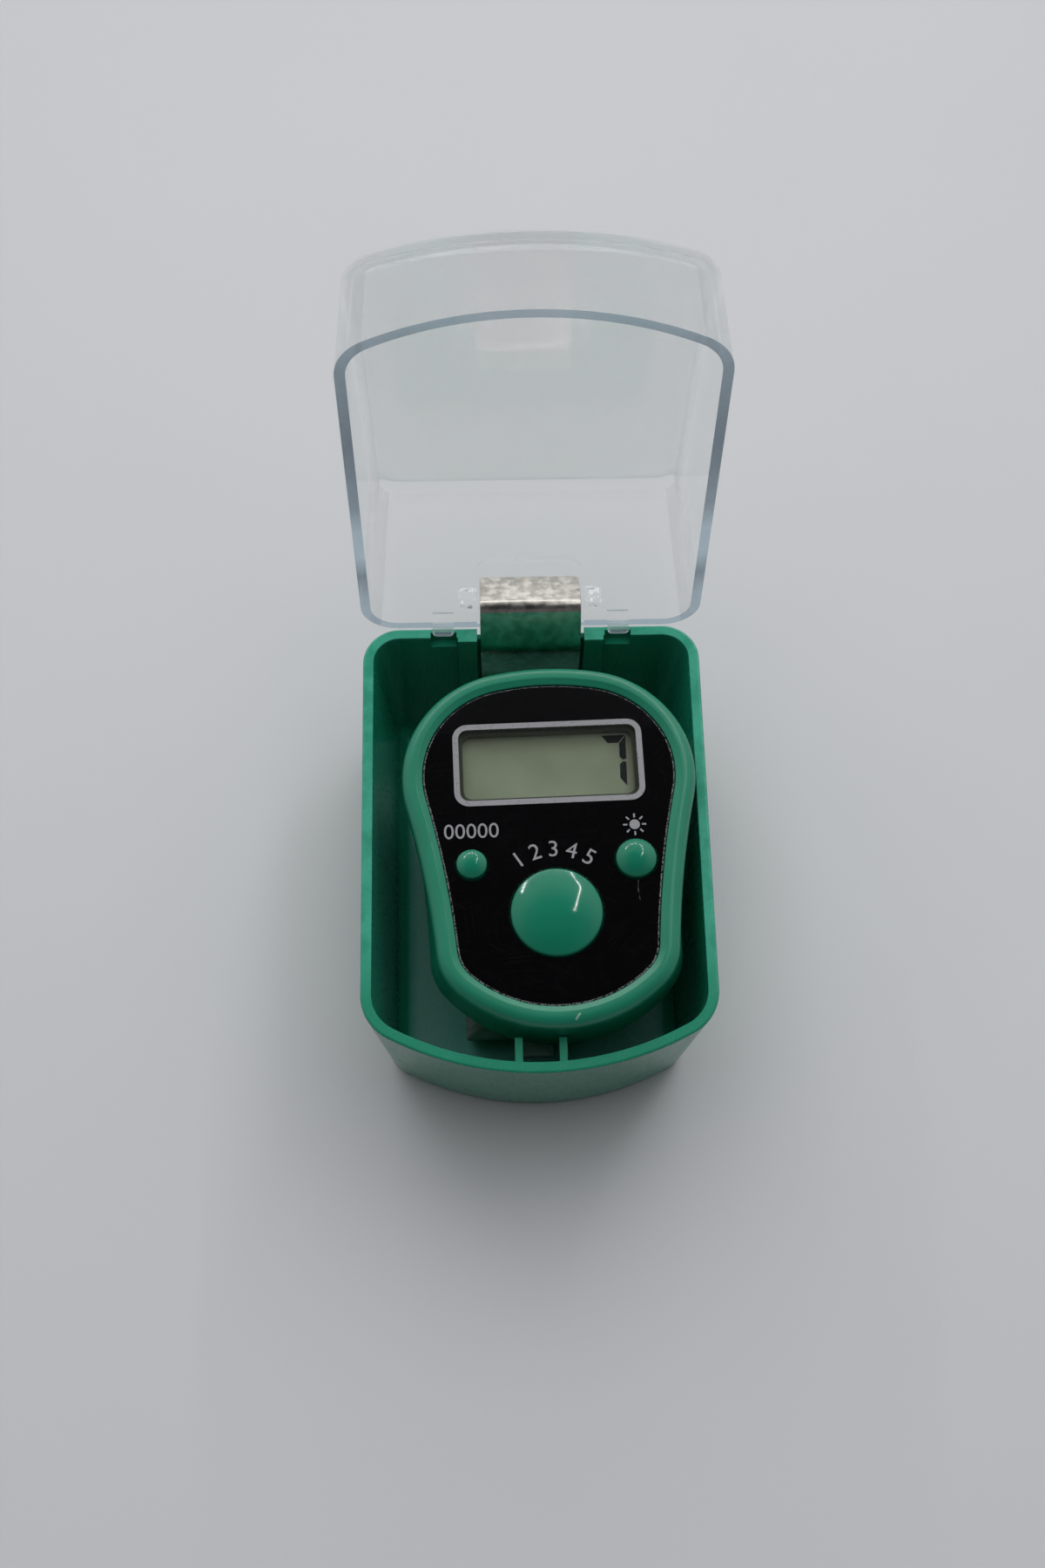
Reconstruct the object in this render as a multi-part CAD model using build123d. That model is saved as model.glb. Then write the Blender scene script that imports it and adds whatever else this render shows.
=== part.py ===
from build123d import *
import math
import os

# A finger-worn digital tasbih counter lying in its hinged presentation case.
# Millimetres. Origin: centre of the case's underside. X right, Y towards the hinge, Z up.

# Case: a tapered tub with a bowed front, under a clear lid that slopes to the front
SIDE_ROOM = 3.3
END_ROOM = 7.4
FRONT_BULGE = 5.3
REAR_CORNER_R = 3.8
FRONT_CORNER_R = 5.0
BASE_HEIGHT = 21.4
BASE_INSET = 2.0
BASE_WALL = 1.1
BASE_FLOOR = 1.2
BASE_FOOT_R = 1.2
BASE_INSIDE_R = 2.0
BASE_RIM_R = 0.25
LID_REAR_HEIGHT = 18.2
LID_FRONT_HEIGHT = 9.6
LID_CROWN = 1.3
LID_WALL = 1.0
LID_TOP = 1.0
LID_INSET = 0.75
LID_EDGE_R = 1.1
LID_INSIDE_R = 0.6
LID_OPEN_ANGLE = 97.0
RIM_GAP = 0.1

# Hinge: two lid lugs stepped into rim notches, and a sprung steel clip between them
LUG_SPACING = 18.2
LUG_WIDTH = 2.2
LUG_LENGTH = 1.5
LUG_THICK = 0.6
LUG_CORNER_R = 0.5
NOTCH_GAP = 0.25
NOTCH_SKIN = 0.5
CLIP_WIDTH = 10.5
CLIP_THICK = 0.35
CLIP_ARM = 5.7
CLIP_RIDGE_OUT = 1.0
CLIP_RIDGE_UP = 3.0
CLIP_RIDGE_R = 0.8
CLIP_BEND_R = 3.0
CLIP_DROP = 10.0
CLIP_FALL = 1.6
CLIP_STAND_OFF = 1.7
CLIP_SKIN = 0.55
CLIP_NOTCH = 1.3
POCKET_DEPTH = 0.4
POCKET_SIDE = 0.35
POCKET_REACH = 8.0
POCKET_CORNER_R = 1.5
NIB_WIDTH = 1.2
NIB_LENGTH = 2.2
NIB_HEIGHT = 0.7
NIB_OUT = 1.7
NIB_SIDE = 0.8
BOSS_WIDTH = 15.2
BOSS_THICK = 0.5

# Two ribs inside the bowed front wall
RIB_SPACING = 4.3
RIB_THICK = 0.75
RIB_REACH = 2.6
RIB_BELOW_RIM = 0.6

# Counter: pear-shaped outline of tangent arcs, wide at the display end
COUNTER_WIDTH = 29.5
COUNTER_WAIST = 23.8
COUNTER_LENGTH = 38.0
DISPLAY_END_R = 28.0
SHOULDER_R = 11.5
WAIST_R = 100.0
TAIL_CORNER_R = 5.9
TAIL_END_R = 14.7
WAIST_FLARE = 0.7
SHOULDER_DRAFT = 0.6
COUNTER_HEIGHT = 11.8
PARTING_HEIGHT = 5.2
BEAD_HEIGHT = 3.3
BEAD_R = 1.25
BEAD_WIDTH = 2.05
BEAD_LIP = 0.6
BEAD_LIP_DROP = 0.35
SHELL_WALL = 1.5
BACK_FLOOR = 1.6
BACK_INSET = 1.3
BACK_EDGE_R = 1.2
COUNTER_TURN = 1.46
COUNTER_SIDE_GAP = 0.05
COUNTER_RIB_GAP = 0.1
STRAP_LOOP_HEIGHT = 11.3

# Face of the counter
PLATE_THICK = 0.8
PLATE_SUNK = 0.45
PLATE_GAP = 0.08
PLATE_EDGE = 0.15
DECK_THICK = 0.9
WINDOW_WIDTH = 17.9
WINDOW_HEIGHT = 7.7
WINDOW_Y = 8.4
WINDOW_CORNER_R = 0.9
WINDOW_GAP = 0.05
WINDOW_LEDGE = 0.35

# Buttons and the tact switches under them
COUNT_DIAMETER = 9.0
COUNT_Y = -7.5
COUNT_RISE = 1.45
COUNT_EDGE_R = 0.35
COUNT_DOME = 1.15
SMALL_BUTTON_X = 8.1
SMALL_BUTTON_Y = -2.3
RESET_DIAMETER = 3.0
LIGHT_DIAMETER = 4.0
SMALL_RISE = 1.2
SMALL_EDGE_R = 0.2
SMALL_DOME_SHARE = 0.2
BUTTON_GAP = 0.2
FLANGE_OUT = 0.5
FLANGE_THICK = 0.6
FLANGE_GAP = 0.1
SWITCH_SIDE = 4.5
SWITCH_HEIGHT = 1.6
SWITCH_CORNER_R = 0.4
PLUNGER_DIAMETER = 2.2
PLUNGER_FIT = 0.06
PLUNGER_SUNK = 0.6
PLUNGER_WELL = 1.2

# Display stack and board
LCD_BORDER = 0.45
LCD_LEDGE = 1.7
LCD_THICK = 1.6
GUIDE_THICK = 1.4
ZEBRA_WIDTH = 1.3
ZEBRA_END_GAP = 0.6
STACK_GAP = 0.15
BOARD_THICK = 1.0
BOARD_GAP = 0.4
LED_SIZE = (1.6, 0.8, 0.7)
CHIP_DIAMETER = 5.4
CHIP_HEIGHT = 0.9
CHIP_Y = 9.0

# Screws that close the counter, driven from the back
SCREW_UPPER = (11.3, 2.2)
SCREW_LOWER = (9.5, -8.6)
POST_R = 1.6
POST_SHOULDER = 0.6
POST_GAP = 0.15
SCREW_R = 0.75
PILOT_R = 0.7
SCREW_CLEAR_R = 0.9
SCREW_HEAD_R = 1.3
SCREW_HEAD_THICK = 0.8
SCREW_HEAD_GAP = 0.2
SCREW_HEAD_SUNK = 0.3
COVER_HEAD_THICK = 0.45
SCREW_SLOT = 0.35
SCREW_TIP_GAP = 0.6

# Button cell, its contacts and its cover
CELL_DIAMETER = 11.6
CELL_THICK = 3.05
CELL_CAN_R = 0.4
CELL_CAP_DIAMETER = 9.0
CELL_CAP_THICK = 0.25
CELL_GAP = 0.25
CELL_Y = -3.0
COVER_WIDTH = 14.0
COVER_THICK = 0.9
COVER_END = 0.9
COVER_GAP = 0.1
COVER_CORNER_R = 2.0
COVER_SCREW_Y = 5.6
COVER_SCREW_HOLD = 2.2
COVER_SCREW_LENGTH = 3.4
CONTACT_WIDTH = 3.0
CONTACT_THICK = 0.2
CONTACT_SPAN = 7.0

# Finger strap: one soft band looped under the counter between two moulded bars
STRAP_WIDTH = 14.4
STRAP_THICK = 1.0
BAR_Y = 13.0
BAR_R = 0.8
BAR_HEIGHT = 1.5
BAR_FIT = 0.05
STRAP_BULGE = 2.0
STRAP_BEND_R = 3.4
STRAP_X = -0.1
STRAP_LEAN_DROP = 5.0
TAIL_WIDTH = 3.2
TAIL_LENGTH = 3.0
TAIL_THICK = 0.9
TAIL_BORDER = 0.55
TAIL_RECESS = 0.4
TAIL_BELOW = 3.0
SLOT_SIDE = 0.3
SLOT_END = 0.8
SLOT_ROOF = 1.0

# The case follows the counter that it holds
CASE_WIDTH = COUNTER_WIDTH + 2 * BASE_WALL + SIDE_ROOM
CASE_DEPTH = COUNTER_LENGTH + 2 * BASE_WALL + END_ROOM
HALF_WIDTH = CASE_WIDTH / 2
HINGE_Y = CASE_DEPTH / 2
FRONT_Y = HINGE_Y - CASE_DEPTH
FRONT_R = (HALF_WIDTH**2 + FRONT_BULGE**2) / (2 * FRONT_BULGE)
BASE_TAPER = math.degrees(math.atan(BASE_INSET / BASE_HEIGHT))
RIB_END = FRONT_Y + BASE_WALL + RIB_REACH

# Levels in the counter, from its underside
LCD_WIDTH = WINDOW_WIDTH + 2 * LCD_BORDER
LCD_HEIGHT = WINDOW_HEIGHT + LCD_LEDGE
PLATE_TOP = COUNTER_HEIGHT - PLATE_SUNK
DECK_TOP = PLATE_TOP - PLATE_THICK
DECK_UNDER = DECK_TOP - DECK_THICK
BOARD_TOP = DECK_UNDER - LCD_THICK - GUIDE_THICK
BOARD_UNDER = BOARD_TOP - BOARD_THICK
FLANGE_TOP = DECK_UNDER - FLANGE_GAP
SWITCH_TOP = BOARD_TOP + SWITCH_HEIGHT
BEAD_FOOT = COUNTER_HEIGHT - BEAD_HEIGHT
LCD_FRONT = WINDOW_Y - LCD_HEIGHT / 2

# The counter leans on the right wall, behind the front ribs, held up by its strap
COUNTER_X = HALF_WIDTH - BASE_WALL - COUNTER_SIDE_GAP - COUNTER_WIDTH / 2
COUNTER_Y = RIB_END + COUNTER_RIB_GAP + COUNTER_LENGTH / 2
COUNTER_Z = BASE_FLOOR + STRAP_LOOP_HEIGHT
HINGE_LINE = Axis((0, HINGE_Y, BASE_HEIGHT), (1, 0, 0))
IN_CASE = Location((COUNTER_X, COUNTER_Y, COUNTER_Z), (0, 0, COUNTER_TURN))


def on_circle(centre, radius, angle):
    return (centre[0] + radius * math.cos(angle), centre[1] + radius * math.sin(angle))


def arc_between(centre, radius, start, end):
    middle = (start + end) / 2
    return ThreePointArc(*(on_circle(centre, radius, a) for a in (start, middle, end)))


def heading(start, end):
    return math.atan2(end[1] - start[1], end[0] - start[0])


# Case outline: square back with rounded corners, parallel sides, bowed front
def case_outline(inset, height):
    rear = (HALF_WIDTH - REAR_CORNER_R, HINGE_Y - REAR_CORNER_R)
    bow = (0, FRONT_Y + FRONT_R)
    front_x = HALF_WIDTH - FRONT_CORNER_R
    front = (front_x, bow[1] - math.sqrt((FRONT_R - FRONT_CORNER_R) ** 2 - front_x**2))
    turn = heading(bow, front)
    rear_r = REAR_CORNER_R - inset
    front_r = FRONT_CORNER_R - inset
    side = HALF_WIDTH - inset
    back = HINGE_Y - inset
    right = [
        Line((0, back), (rear[0], back)),
        arc_between(rear, rear_r, math.pi / 2, 0),
        Line((side, rear[1]), (side, front[1])),
        arc_between(front, front_r, 0, turn),
        arc_between(bow, FRONT_R - inset, turn, -math.pi / 2),
    ]
    left = [edge.mirror(Plane.YZ) for edge in right]
    return Pos(0, 0, height) * make_face(right + left)


# Counter outline: display end, shoulders, waist, tail corners and tail end, all tangent arcs.
# Below the bead the shoulders draw in and the waist flares out.
def counter_outline(inset, height, flare=0.0, draft=0.0):
    half = COUNTER_WIDTH / 2 - draft
    waist = COUNTER_WAIST / 2 + flare
    end = COUNTER_LENGTH / 2
    display = (0, end - DISPLAY_END_R)
    shoulder_x = half - SHOULDER_R
    rise = math.sqrt((DISPLAY_END_R - SHOULDER_R) ** 2 - shoulder_x**2)
    shoulder = (shoulder_x, display[1] + rise)
    tail = (0, TAIL_END_R - end)
    corner_x = waist - TAIL_CORNER_R
    drop = math.sqrt((TAIL_END_R - TAIL_CORNER_R) ** 2 - corner_x**2)
    corner = (corner_x, tail[1] - drop)
    span = math.dist(shoulder, corner)
    far = SHOULDER_R + WAIST_R
    near = TAIL_CORNER_R + WAIST_R
    along = (far**2 - near**2 + span**2) / (2 * span)
    aside = math.sqrt(far**2 - along**2)
    lean = heading(shoulder, corner)
    hollow = (
        shoulder[0] + along * math.cos(lean) - aside * math.sin(lean),
        shoulder[1] + along * math.sin(lean) + aside * math.cos(lean),
    )
    a_display = heading(display, shoulder)
    a_shoulder = heading(shoulder, hollow)
    a_corner = heading(corner, hollow)
    a_tail = heading(tail, corner)
    right = [
        arc_between(display, DISPLAY_END_R - inset, math.pi / 2, a_display),
        arc_between(shoulder, SHOULDER_R - inset, a_display, a_shoulder),
        arc_between(hollow, WAIST_R + inset, a_shoulder + math.pi, a_corner + math.pi),
        arc_between(corner, TAIL_CORNER_R - inset, a_corner, a_tail),
        arc_between(tail, TAIL_END_R - inset, a_tail, -math.pi / 2),
    ]
    left = [edge.mirror(Plane.YZ) for edge in right]
    return Pos(0, 0, height) * make_face(right + left)


def parting_outline(inset, height):
    return counter_outline(inset, height, WAIST_FLARE, SHOULDER_DRAFT)


def disc(x, y, radius, bottom, top):
    return Pos(x, y, bottom) * extrude(Circle(radius), amount=top - bottom)


def block(width, depth, corner_r, x, y, bottom, top):
    outline = RectangleRounded(width, depth, corner_r) if corner_r else Rectangle(width, depth)
    return Pos(x, y, bottom) * extrude(outline, amount=top - bottom)


def band(points, bends, thick, width):
    """A strip of constant thickness bent along a side-view path of (y, z) points."""
    path = FilletPolyline(*points, radius=bends)
    return extrude(Plane.YZ * trace(path, thick), amount=width / 2, both=True)


nodes = {}

# Case base: drafted tub, thicker behind the hinge clip, its rear wall pocketed for the lid's lugs
base = extrude(case_outline(BASE_INSET, 0), amount=BASE_HEIGHT, taper=-BASE_TAPER)
base = fillet(base.faces().sort_by(Axis.Z)[0].edges(), BASE_FOOT_R)
base = fillet(base.faces().sort_by(Axis.Z)[-1].edges(), BASE_RIM_R)
floor_inset = BASE_WALL + BASE_INSET * (1 - BASE_FLOOR / BASE_HEIGHT)
well_height = BASE_HEIGHT - BASE_FLOOR
well = extrude(case_outline(floor_inset, BASE_FLOOR), amount=well_height, taper=-BASE_TAPER)
well = fillet(well.faces().sort_by(Axis.Z)[0].edges(), BASE_INSIDE_R)
base = base - well
boss_back = HINGE_Y - BASE_WALL
boss_slope = BASE_INSET / BASE_HEIGHT
boss_side = Polyline(
    (boss_back, BASE_HEIGHT),
    (boss_back - BOSS_THICK, BASE_HEIGHT),
    (boss_back - BOSS_THICK - boss_slope * well_height, BASE_FLOOR),
    (boss_back - boss_slope * well_height, BASE_FLOOR),
    close=True,
)
base = base + extrude(Plane.YZ * make_face(boss_side), amount=BOSS_WIDTH / 2, both=True)
channel_back = HINGE_Y - CLIP_SKIN
channel_depth = CLIP_DROP + CLIP_THICK
channel_front = boss_back - BOSS_THICK - BASE_WALL
channel_side = Polyline(
    (channel_back, BASE_HEIGHT),
    (channel_front, BASE_HEIGHT),
    (channel_front - boss_slope * channel_depth, BASE_HEIGHT - channel_depth),
    (channel_back - boss_slope * channel_depth, BASE_HEIGHT - channel_depth),
    close=True,
)
clip_way = CLIP_WIDTH + 2 * POCKET_SIDE
base = base - extrude(Plane.YZ * make_face(channel_side), amount=clip_way / 2, both=True)
base = base - block(
    clip_way, 2 * BASE_WALL, 0, 0, HINGE_Y, BASE_HEIGHT - CLIP_NOTCH, BASE_HEIGHT + CLIP_NOTCH
)
rib_length = RIB_END - FRONT_Y - BASE_WALL / 2
rib_height = well_height - RIB_BELOW_RIM
tub = extrude(case_outline(BASE_INSET, 0), amount=BASE_HEIGHT, taper=-BASE_TAPER)
for side in (-1, 1):
    rib = block(
        RIB_THICK, rib_length, 0, side * RIB_SPACING / 2, RIB_END - rib_length / 2,
        BASE_FLOOR, BASE_FLOOR + rib_height,
    )
    base = base + (rib & tub)
notch_width = LUG_WIDTH + 2 * NOTCH_GAP
notch_depth = LUG_LENGTH + NOTCH_GAP
notch_reach = BASE_WALL + BOSS_THICK + NOTCH_GAP
notch_length = notch_reach - NOTCH_SKIN
for side in (-1, 1):
    base = base - block(
        notch_width, notch_length, 0,
        side * LUG_SPACING / 2, HINGE_Y - NOTCH_SKIN - notch_length / 2,
        BASE_HEIGHT - notch_depth, BASE_HEIGHT + NOTCH_GAP,
    )
nodes["case_base"] = base


# Case lid: clear drafted shell with a sloping crowned top, built shut and swung open
def lid_form(inset, drop, height):
    foot = BASE_HEIGHT + RIM_GAP
    shrink = LID_INSET * height / LID_REAR_HEIGHT
    prism = loft(
        [case_outline(inset, foot), case_outline(inset + shrink, foot + height)], ruled=True
    )
    rear = foot + LID_REAR_HEIGHT - drop
    front = foot + LID_FRONT_HEIGHT - drop
    crown = (rear + front) / 2 + LID_CROWN
    side = [
        Polyline((FRONT_Y, front), (FRONT_Y, foot), (HINGE_Y, foot), (HINGE_Y, rear)),
        ThreePointArc((HINGE_Y, rear), (0, crown), (FRONT_Y, front)),
    ]
    return prism & extrude(Plane.YZ * make_face(side), amount=HALF_WIDTH, both=True)


lid_prism = LID_REAR_HEIGHT + LID_CROWN
lid = lid_form(0, 0, lid_prism)
lid = fillet(lid.faces().sort_by(Axis.Z)[-1].edges(), LID_EDGE_R)
lid_hollow = lid_form(LID_WALL, LID_TOP, lid_prism)
lid_hollow = fillet(lid_hollow.faces().sort_by(Axis.Z)[-1].edges(), LID_INSIDE_R)
lid = lid - lid_hollow
lid_foot = BASE_HEIGHT + RIM_GAP
for side in (-1, 1):
    lug = block(
        LUG_WIDTH, LUG_THICK, 0,
        side * LUG_SPACING / 2, HINGE_Y - NOTCH_SKIN - NOTCH_GAP - LUG_THICK / 2,
        BASE_HEIGHT - LUG_LENGTH, lid_foot + LID_WALL,
    )
    lid = lid + fillet(lug.edges().filter_by(Axis.Y).group_by(Axis.Z)[0], LUG_CORNER_R)
pocket = Rectangle(clip_way, 2 * POCKET_REACH)
pocket = fillet(pocket.vertices(), POCKET_CORNER_R)
pocket_wall = HINGE_Y - LID_WALL + POCKET_DEPTH
lid = lid - Pos(0, pocket_wall, lid_foot) * extrude(Plane.XZ * pocket, amount=LID_WALL)
for side in (-1, 1):
    nib = block(
        NIB_WIDTH, NIB_HEIGHT + LID_WALL / 2, 0, side * (CLIP_WIDTH / 2 + NIB_SIDE + NIB_WIDTH / 2),
        HINGE_Y - LID_WALL / 2 - (NIB_HEIGHT + LID_WALL / 2) / 2,
        BASE_HEIGHT + NIB_OUT, BASE_HEIGHT + NIB_OUT + NIB_LENGTH,
    )
    lid = lid + fillet(nib.edges().filter_by(Axis.X).group_by(Axis.Y)[0], NIB_HEIGHT / 2)
nodes["case_lid"] = lid.rotate(HINGE_LINE, -LID_OPEN_ANGLE)


# Hinge spring: steel strip hooked in the lid's pocket, ridged over the rim, down the base's boss
def on_open_lid(inward, up):
    swing = math.radians(LID_OPEN_ANGLE)
    out = HINGE_Y - inward * math.cos(swing) + up * math.sin(swing)
    return (out, BASE_HEIGHT + inward * math.sin(swing) + up * math.cos(swing))


clip_seat = LID_WALL - POCKET_DEPTH + CLIP_THICK / 2
leaf_y = channel_back - CLIP_THICK / 2
clip_points = [
    on_open_lid(clip_seat, CLIP_ARM),
    (HINGE_Y + CLIP_RIDGE_OUT, BASE_HEIGHT + CLIP_RIDGE_UP),
    (HINGE_Y - CLIP_STAND_OFF, BASE_HEIGHT - CLIP_FALL),
    (leaf_y - boss_slope * CLIP_DROP, BASE_HEIGHT - CLIP_DROP),
]
nodes["hinge_spring"] = band(clip_points, (CLIP_RIDGE_R, CLIP_BEND_R), CLIP_THICK, CLIP_WIDTH)

# Screw places, upper pair and lower pair
screw_places = [(s * x, y) for x, y in (SCREW_UPPER, SCREW_LOWER) for s in (-1, 1)]
small_buttons = {"reset": -SMALL_BUTTON_X, "light": SMALL_BUTTON_X}
button_holes = [
    (0, COUNT_Y, COUNT_DIAMETER / 2 + BUTTON_GAP),
    (-SMALL_BUTTON_X, SMALL_BUTTON_Y, RESET_DIAMETER / 2 + BUTTON_GAP),
    (SMALL_BUTTON_X, SMALL_BUTTON_Y, LIGHT_DIAMETER / 2 + BUTTON_GAP),
]

# Top shell: flared skirt, rounded bead with a sloped inner lip, sunk deck for the faceplate, screw posts
skirt = loft([parting_outline(0, PARTING_HEIGHT), counter_outline(0, BEAD_FOOT)], ruled=True)
bead = extrude(counter_outline(0, BEAD_FOOT), amount=BEAD_HEIGHT)
bead = fillet(bead.faces().sort_by(Axis.Z)[-1].edges(), BEAD_R)
top_shell = skirt + bead
top_shell = top_shell - extrude(counter_outline(BEAD_WIDTH, DECK_TOP), amount=COUNTER_HEIGHT)
lip_foot = counter_outline(BEAD_WIDTH, COUNTER_HEIGHT - BEAD_LIP_DROP)
lip_brow = counter_outline(BEAD_WIDTH - BEAD_LIP, COUNTER_HEIGHT)
top_shell = top_shell - loft([lip_foot, lip_brow], ruled=True)
cavity_height = DECK_UNDER - PARTING_HEIGHT
top_shell = top_shell - extrude(counter_outline(SHELL_WALL, PARTING_HEIGHT), amount=cavity_height)
inside = extrude(counter_outline(SHELL_WALL / 2, PARTING_HEIGHT), amount=cavity_height)
for x, y in screw_places:
    shoulder = disc(x, y, POST_R + POST_SHOULDER, BOARD_TOP, DECK_UNDER)
    post = disc(x, y, POST_R, PARTING_HEIGHT, DECK_UNDER)
    top_shell = top_shell + ((shoulder + post) & inside)
    top_shell = top_shell - disc(x, y, PILOT_R, 0, DECK_UNDER)
top_shell = top_shell - block(
    WINDOW_WIDTH - 2 * WINDOW_LEDGE, WINDOW_HEIGHT - 2 * WINDOW_LEDGE, WINDOW_CORNER_R,
    0, WINDOW_Y, 0, COUNTER_HEIGHT,
)
for x, y, radius in button_holes:
    top_shell = top_shell - disc(x, y, radius, DECK_UNDER - DECK_THICK, COUNTER_HEIGHT)
nodes["top_shell"] = top_shell

# Faceplate: gloss black plate in the sunk deck, with the display opening and button holes
plate = extrude(counter_outline(BEAD_WIDTH + PLATE_GAP, DECK_TOP), amount=PLATE_THICK)
plate = chamfer(plate.faces().sort_by(Axis.Z)[-1].edges(), PLATE_EDGE)
plate = plate - block(
    WINDOW_WIDTH, WINDOW_HEIGHT, WINDOW_CORNER_R, 0, WINDOW_Y, DECK_TOP, COUNTER_HEIGHT
)
for x, y, radius in button_holes:
    plate = plate - disc(x, y, radius, DECK_TOP, COUNTER_HEIGHT)
nodes["faceplate"] = plate

# Display window: clear pane flush in the faceplate, on the ledge of the deck's opening
nodes["display_window"] = block(
    WINDOW_WIDTH - 2 * WINDOW_GAP, WINDOW_HEIGHT - 2 * WINDOW_GAP, WINDOW_CORNER_R - WINDOW_GAP,
    0, WINDOW_Y, DECK_TOP, PLATE_TOP,
)

# Display: two-layer glass against the deck, its long contact ledge bare towards the buttons
upper_layer = block(
    LCD_WIDTH, LCD_HEIGHT - LCD_LEDGE, 0, 0, WINDOW_Y + LCD_LEDGE / 2,
    DECK_UNDER - LCD_THICK, DECK_UNDER - LCD_THICK / 2,
)
lower_layer = block(
    LCD_WIDTH, LCD_HEIGHT, 0, 0, WINDOW_Y, DECK_UNDER - LCD_THICK / 2, DECK_UNDER
)
nodes["display_glass"] = upper_layer + lower_layer
guide_depth = LCD_HEIGHT - LCD_LEDGE - STACK_GAP
nodes["light_guide"] = block(
    LCD_WIDTH, guide_depth, 0, 0, LCD_FRONT + LCD_HEIGHT - guide_depth / 2,
    BOARD_TOP, DECK_UNDER - LCD_THICK,
)
nodes["zebra_strip"] = block(
    LCD_WIDTH - 2 * ZEBRA_END_GAP, ZEBRA_WIDTH, 0, 0, LCD_FRONT + STACK_GAP + ZEBRA_WIDTH / 2,
    BOARD_TOP, DECK_UNDER - LCD_THICK / 2,
)

# Circuit board, its bonded chip under a resin blob, and the lamp beside the light guide
board = extrude(counter_outline(SHELL_WALL + BOARD_GAP, BOARD_UNDER), amount=BOARD_THICK)
for x, y in screw_places:
    board = board - disc(x, y, POST_R + POST_GAP, BOARD_UNDER, BOARD_TOP)
nodes["circuit_board"] = board
blob = Pos(0, CHIP_Y, BOARD_UNDER - CHIP_HEIGHT) * extrude(Circle(CHIP_DIAMETER / 2), amount=CHIP_HEIGHT)
nodes["chip_blob"] = fillet(blob.faces().sort_by(Axis.Z)[0].edges(), CHIP_HEIGHT * 0.9)
nodes["backlight_led"] = block(
    LED_SIZE[1], LED_SIZE[0], 0, LCD_WIDTH / 2 + STACK_GAP + LED_SIZE[1] / 2, WINDOW_Y,
    BOARD_TOP, BOARD_TOP + LED_SIZE[2],
)


# Tact switches and their plungers, one under each button
def tact_switch(x, y):
    body = block(SWITCH_SIDE, SWITCH_SIDE, SWITCH_CORNER_R, x, y, BOARD_TOP, SWITCH_TOP)
    return body - disc(x, y, PLUNGER_DIAMETER / 2 + PLUNGER_FIT, SWITCH_TOP - PLUNGER_WELL, SWITCH_TOP)


def plunger(x, y):
    return disc(x, y, PLUNGER_DIAMETER / 2, SWITCH_TOP - PLUNGER_SUNK, FLANGE_TOP - FLANGE_THICK)


# Buttons: a flange caught under the deck, a plain shank, and a domed top
def domed_button(x, y, diameter, rise, dome, edge_r):
    radius = diameter / 2
    top = PLATE_TOP + rise
    crown_r = (radius**2 + dome**2) / (2 * dome)
    side = [
        Polyline(
            (0, FLANGE_TOP - FLANGE_THICK),
            (radius + FLANGE_OUT, FLANGE_TOP - FLANGE_THICK),
            (radius + FLANGE_OUT, FLANGE_TOP),
            (radius, FLANGE_TOP),
            (radius, top - dome),
        ),
        RadiusArc((radius, top - dome), (0, top), -crown_r),
        Line((0, top), (0, FLANGE_TOP - FLANGE_THICK)),
    ]
    profile = make_face(side)
    brim = profile.vertices().sort_by_distance((radius, top - dome, 0))[0]
    profile = fillet(brim, edge_r)
    return Pos(x, y, 0) * revolve(Plane.XZ * profile, Axis.Z)


nodes["count_switch"] = tact_switch(0, COUNT_Y)
nodes["count_plunger"] = plunger(0, COUNT_Y)
nodes["count_button"] = domed_button(0, COUNT_Y, COUNT_DIAMETER, COUNT_RISE, COUNT_DOME, COUNT_EDGE_R)
for name, diameter in (("reset", RESET_DIAMETER), ("light", LIGHT_DIAMETER)):
    x = small_buttons[name]
    nodes[name + "_switch"] = tact_switch(x, SMALL_BUTTON_Y)
    nodes[name + "_plunger"] = plunger(x, SMALL_BUTTON_Y)
    nodes[name + "_button"] = domed_button(
        x, SMALL_BUTTON_Y, diameter, SMALL_RISE, diameter * SMALL_DOME_SHARE, SMALL_EDGE_R
    )

# Back shell: drafted tray with cell well, screw posts and a strap bar in a slot at each end
back = loft([parting_outline(BACK_INSET, 0), parting_outline(0, PARTING_HEIGHT)], ruled=True)
back = fillet(back.faces().sort_by(Axis.Z)[0].edges(), BACK_EDGE_R)
back_outer = back
tray_height = PARTING_HEIGHT - BACK_FLOOR
tray_inset = SHELL_WALL + BACK_INSET * (1 - BACK_FLOOR / PARTING_HEIGHT)
back = back - extrude(parting_outline(tray_inset, BACK_FLOOR), amount=tray_height)
cell_well_r = CELL_DIAMETER / 2 + CELL_GAP
cell_top = COVER_THICK + CELL_THICK
back = back + disc(0, CELL_Y, cell_well_r + SHELL_WALL / 2, BACK_FLOOR, cell_top)
back = back + disc(0, COVER_SCREW_Y, POST_R, BACK_FLOOR, BACK_FLOOR + COVER_SCREW_HOLD)
slot_top = BAR_HEIGHT + BAR_R + BAR_FIT + STRAP_THICK + BAR_FIT
slot_half = BAR_R + BAR_FIT + STRAP_THICK + SLOT_END
slot_width = STRAP_WIDTH + 2 * SLOT_SIDE
for side in (-1, 1):
    hood = block(
        slot_width + 2 * SLOT_ROOF, 2 * (slot_half + SLOT_ROOF), 0, 0, side * BAR_Y,
        0, slot_top + SLOT_ROOF,
    )
    back = back + (hood & back_outer)
    back = back - block(slot_width, 2 * slot_half, 0, 0, side * BAR_Y, 0, slot_top)
    bar = Pos(0, side * BAR_Y, BAR_HEIGHT) * Rot(0, 90, 0) * Cylinder(BAR_R, slot_width + SLOT_ROOF)
    back = back + bar
inside_back = extrude(parting_outline(BACK_INSET + SHELL_WALL / 2, 0), amount=COUNTER_HEIGHT)
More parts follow.
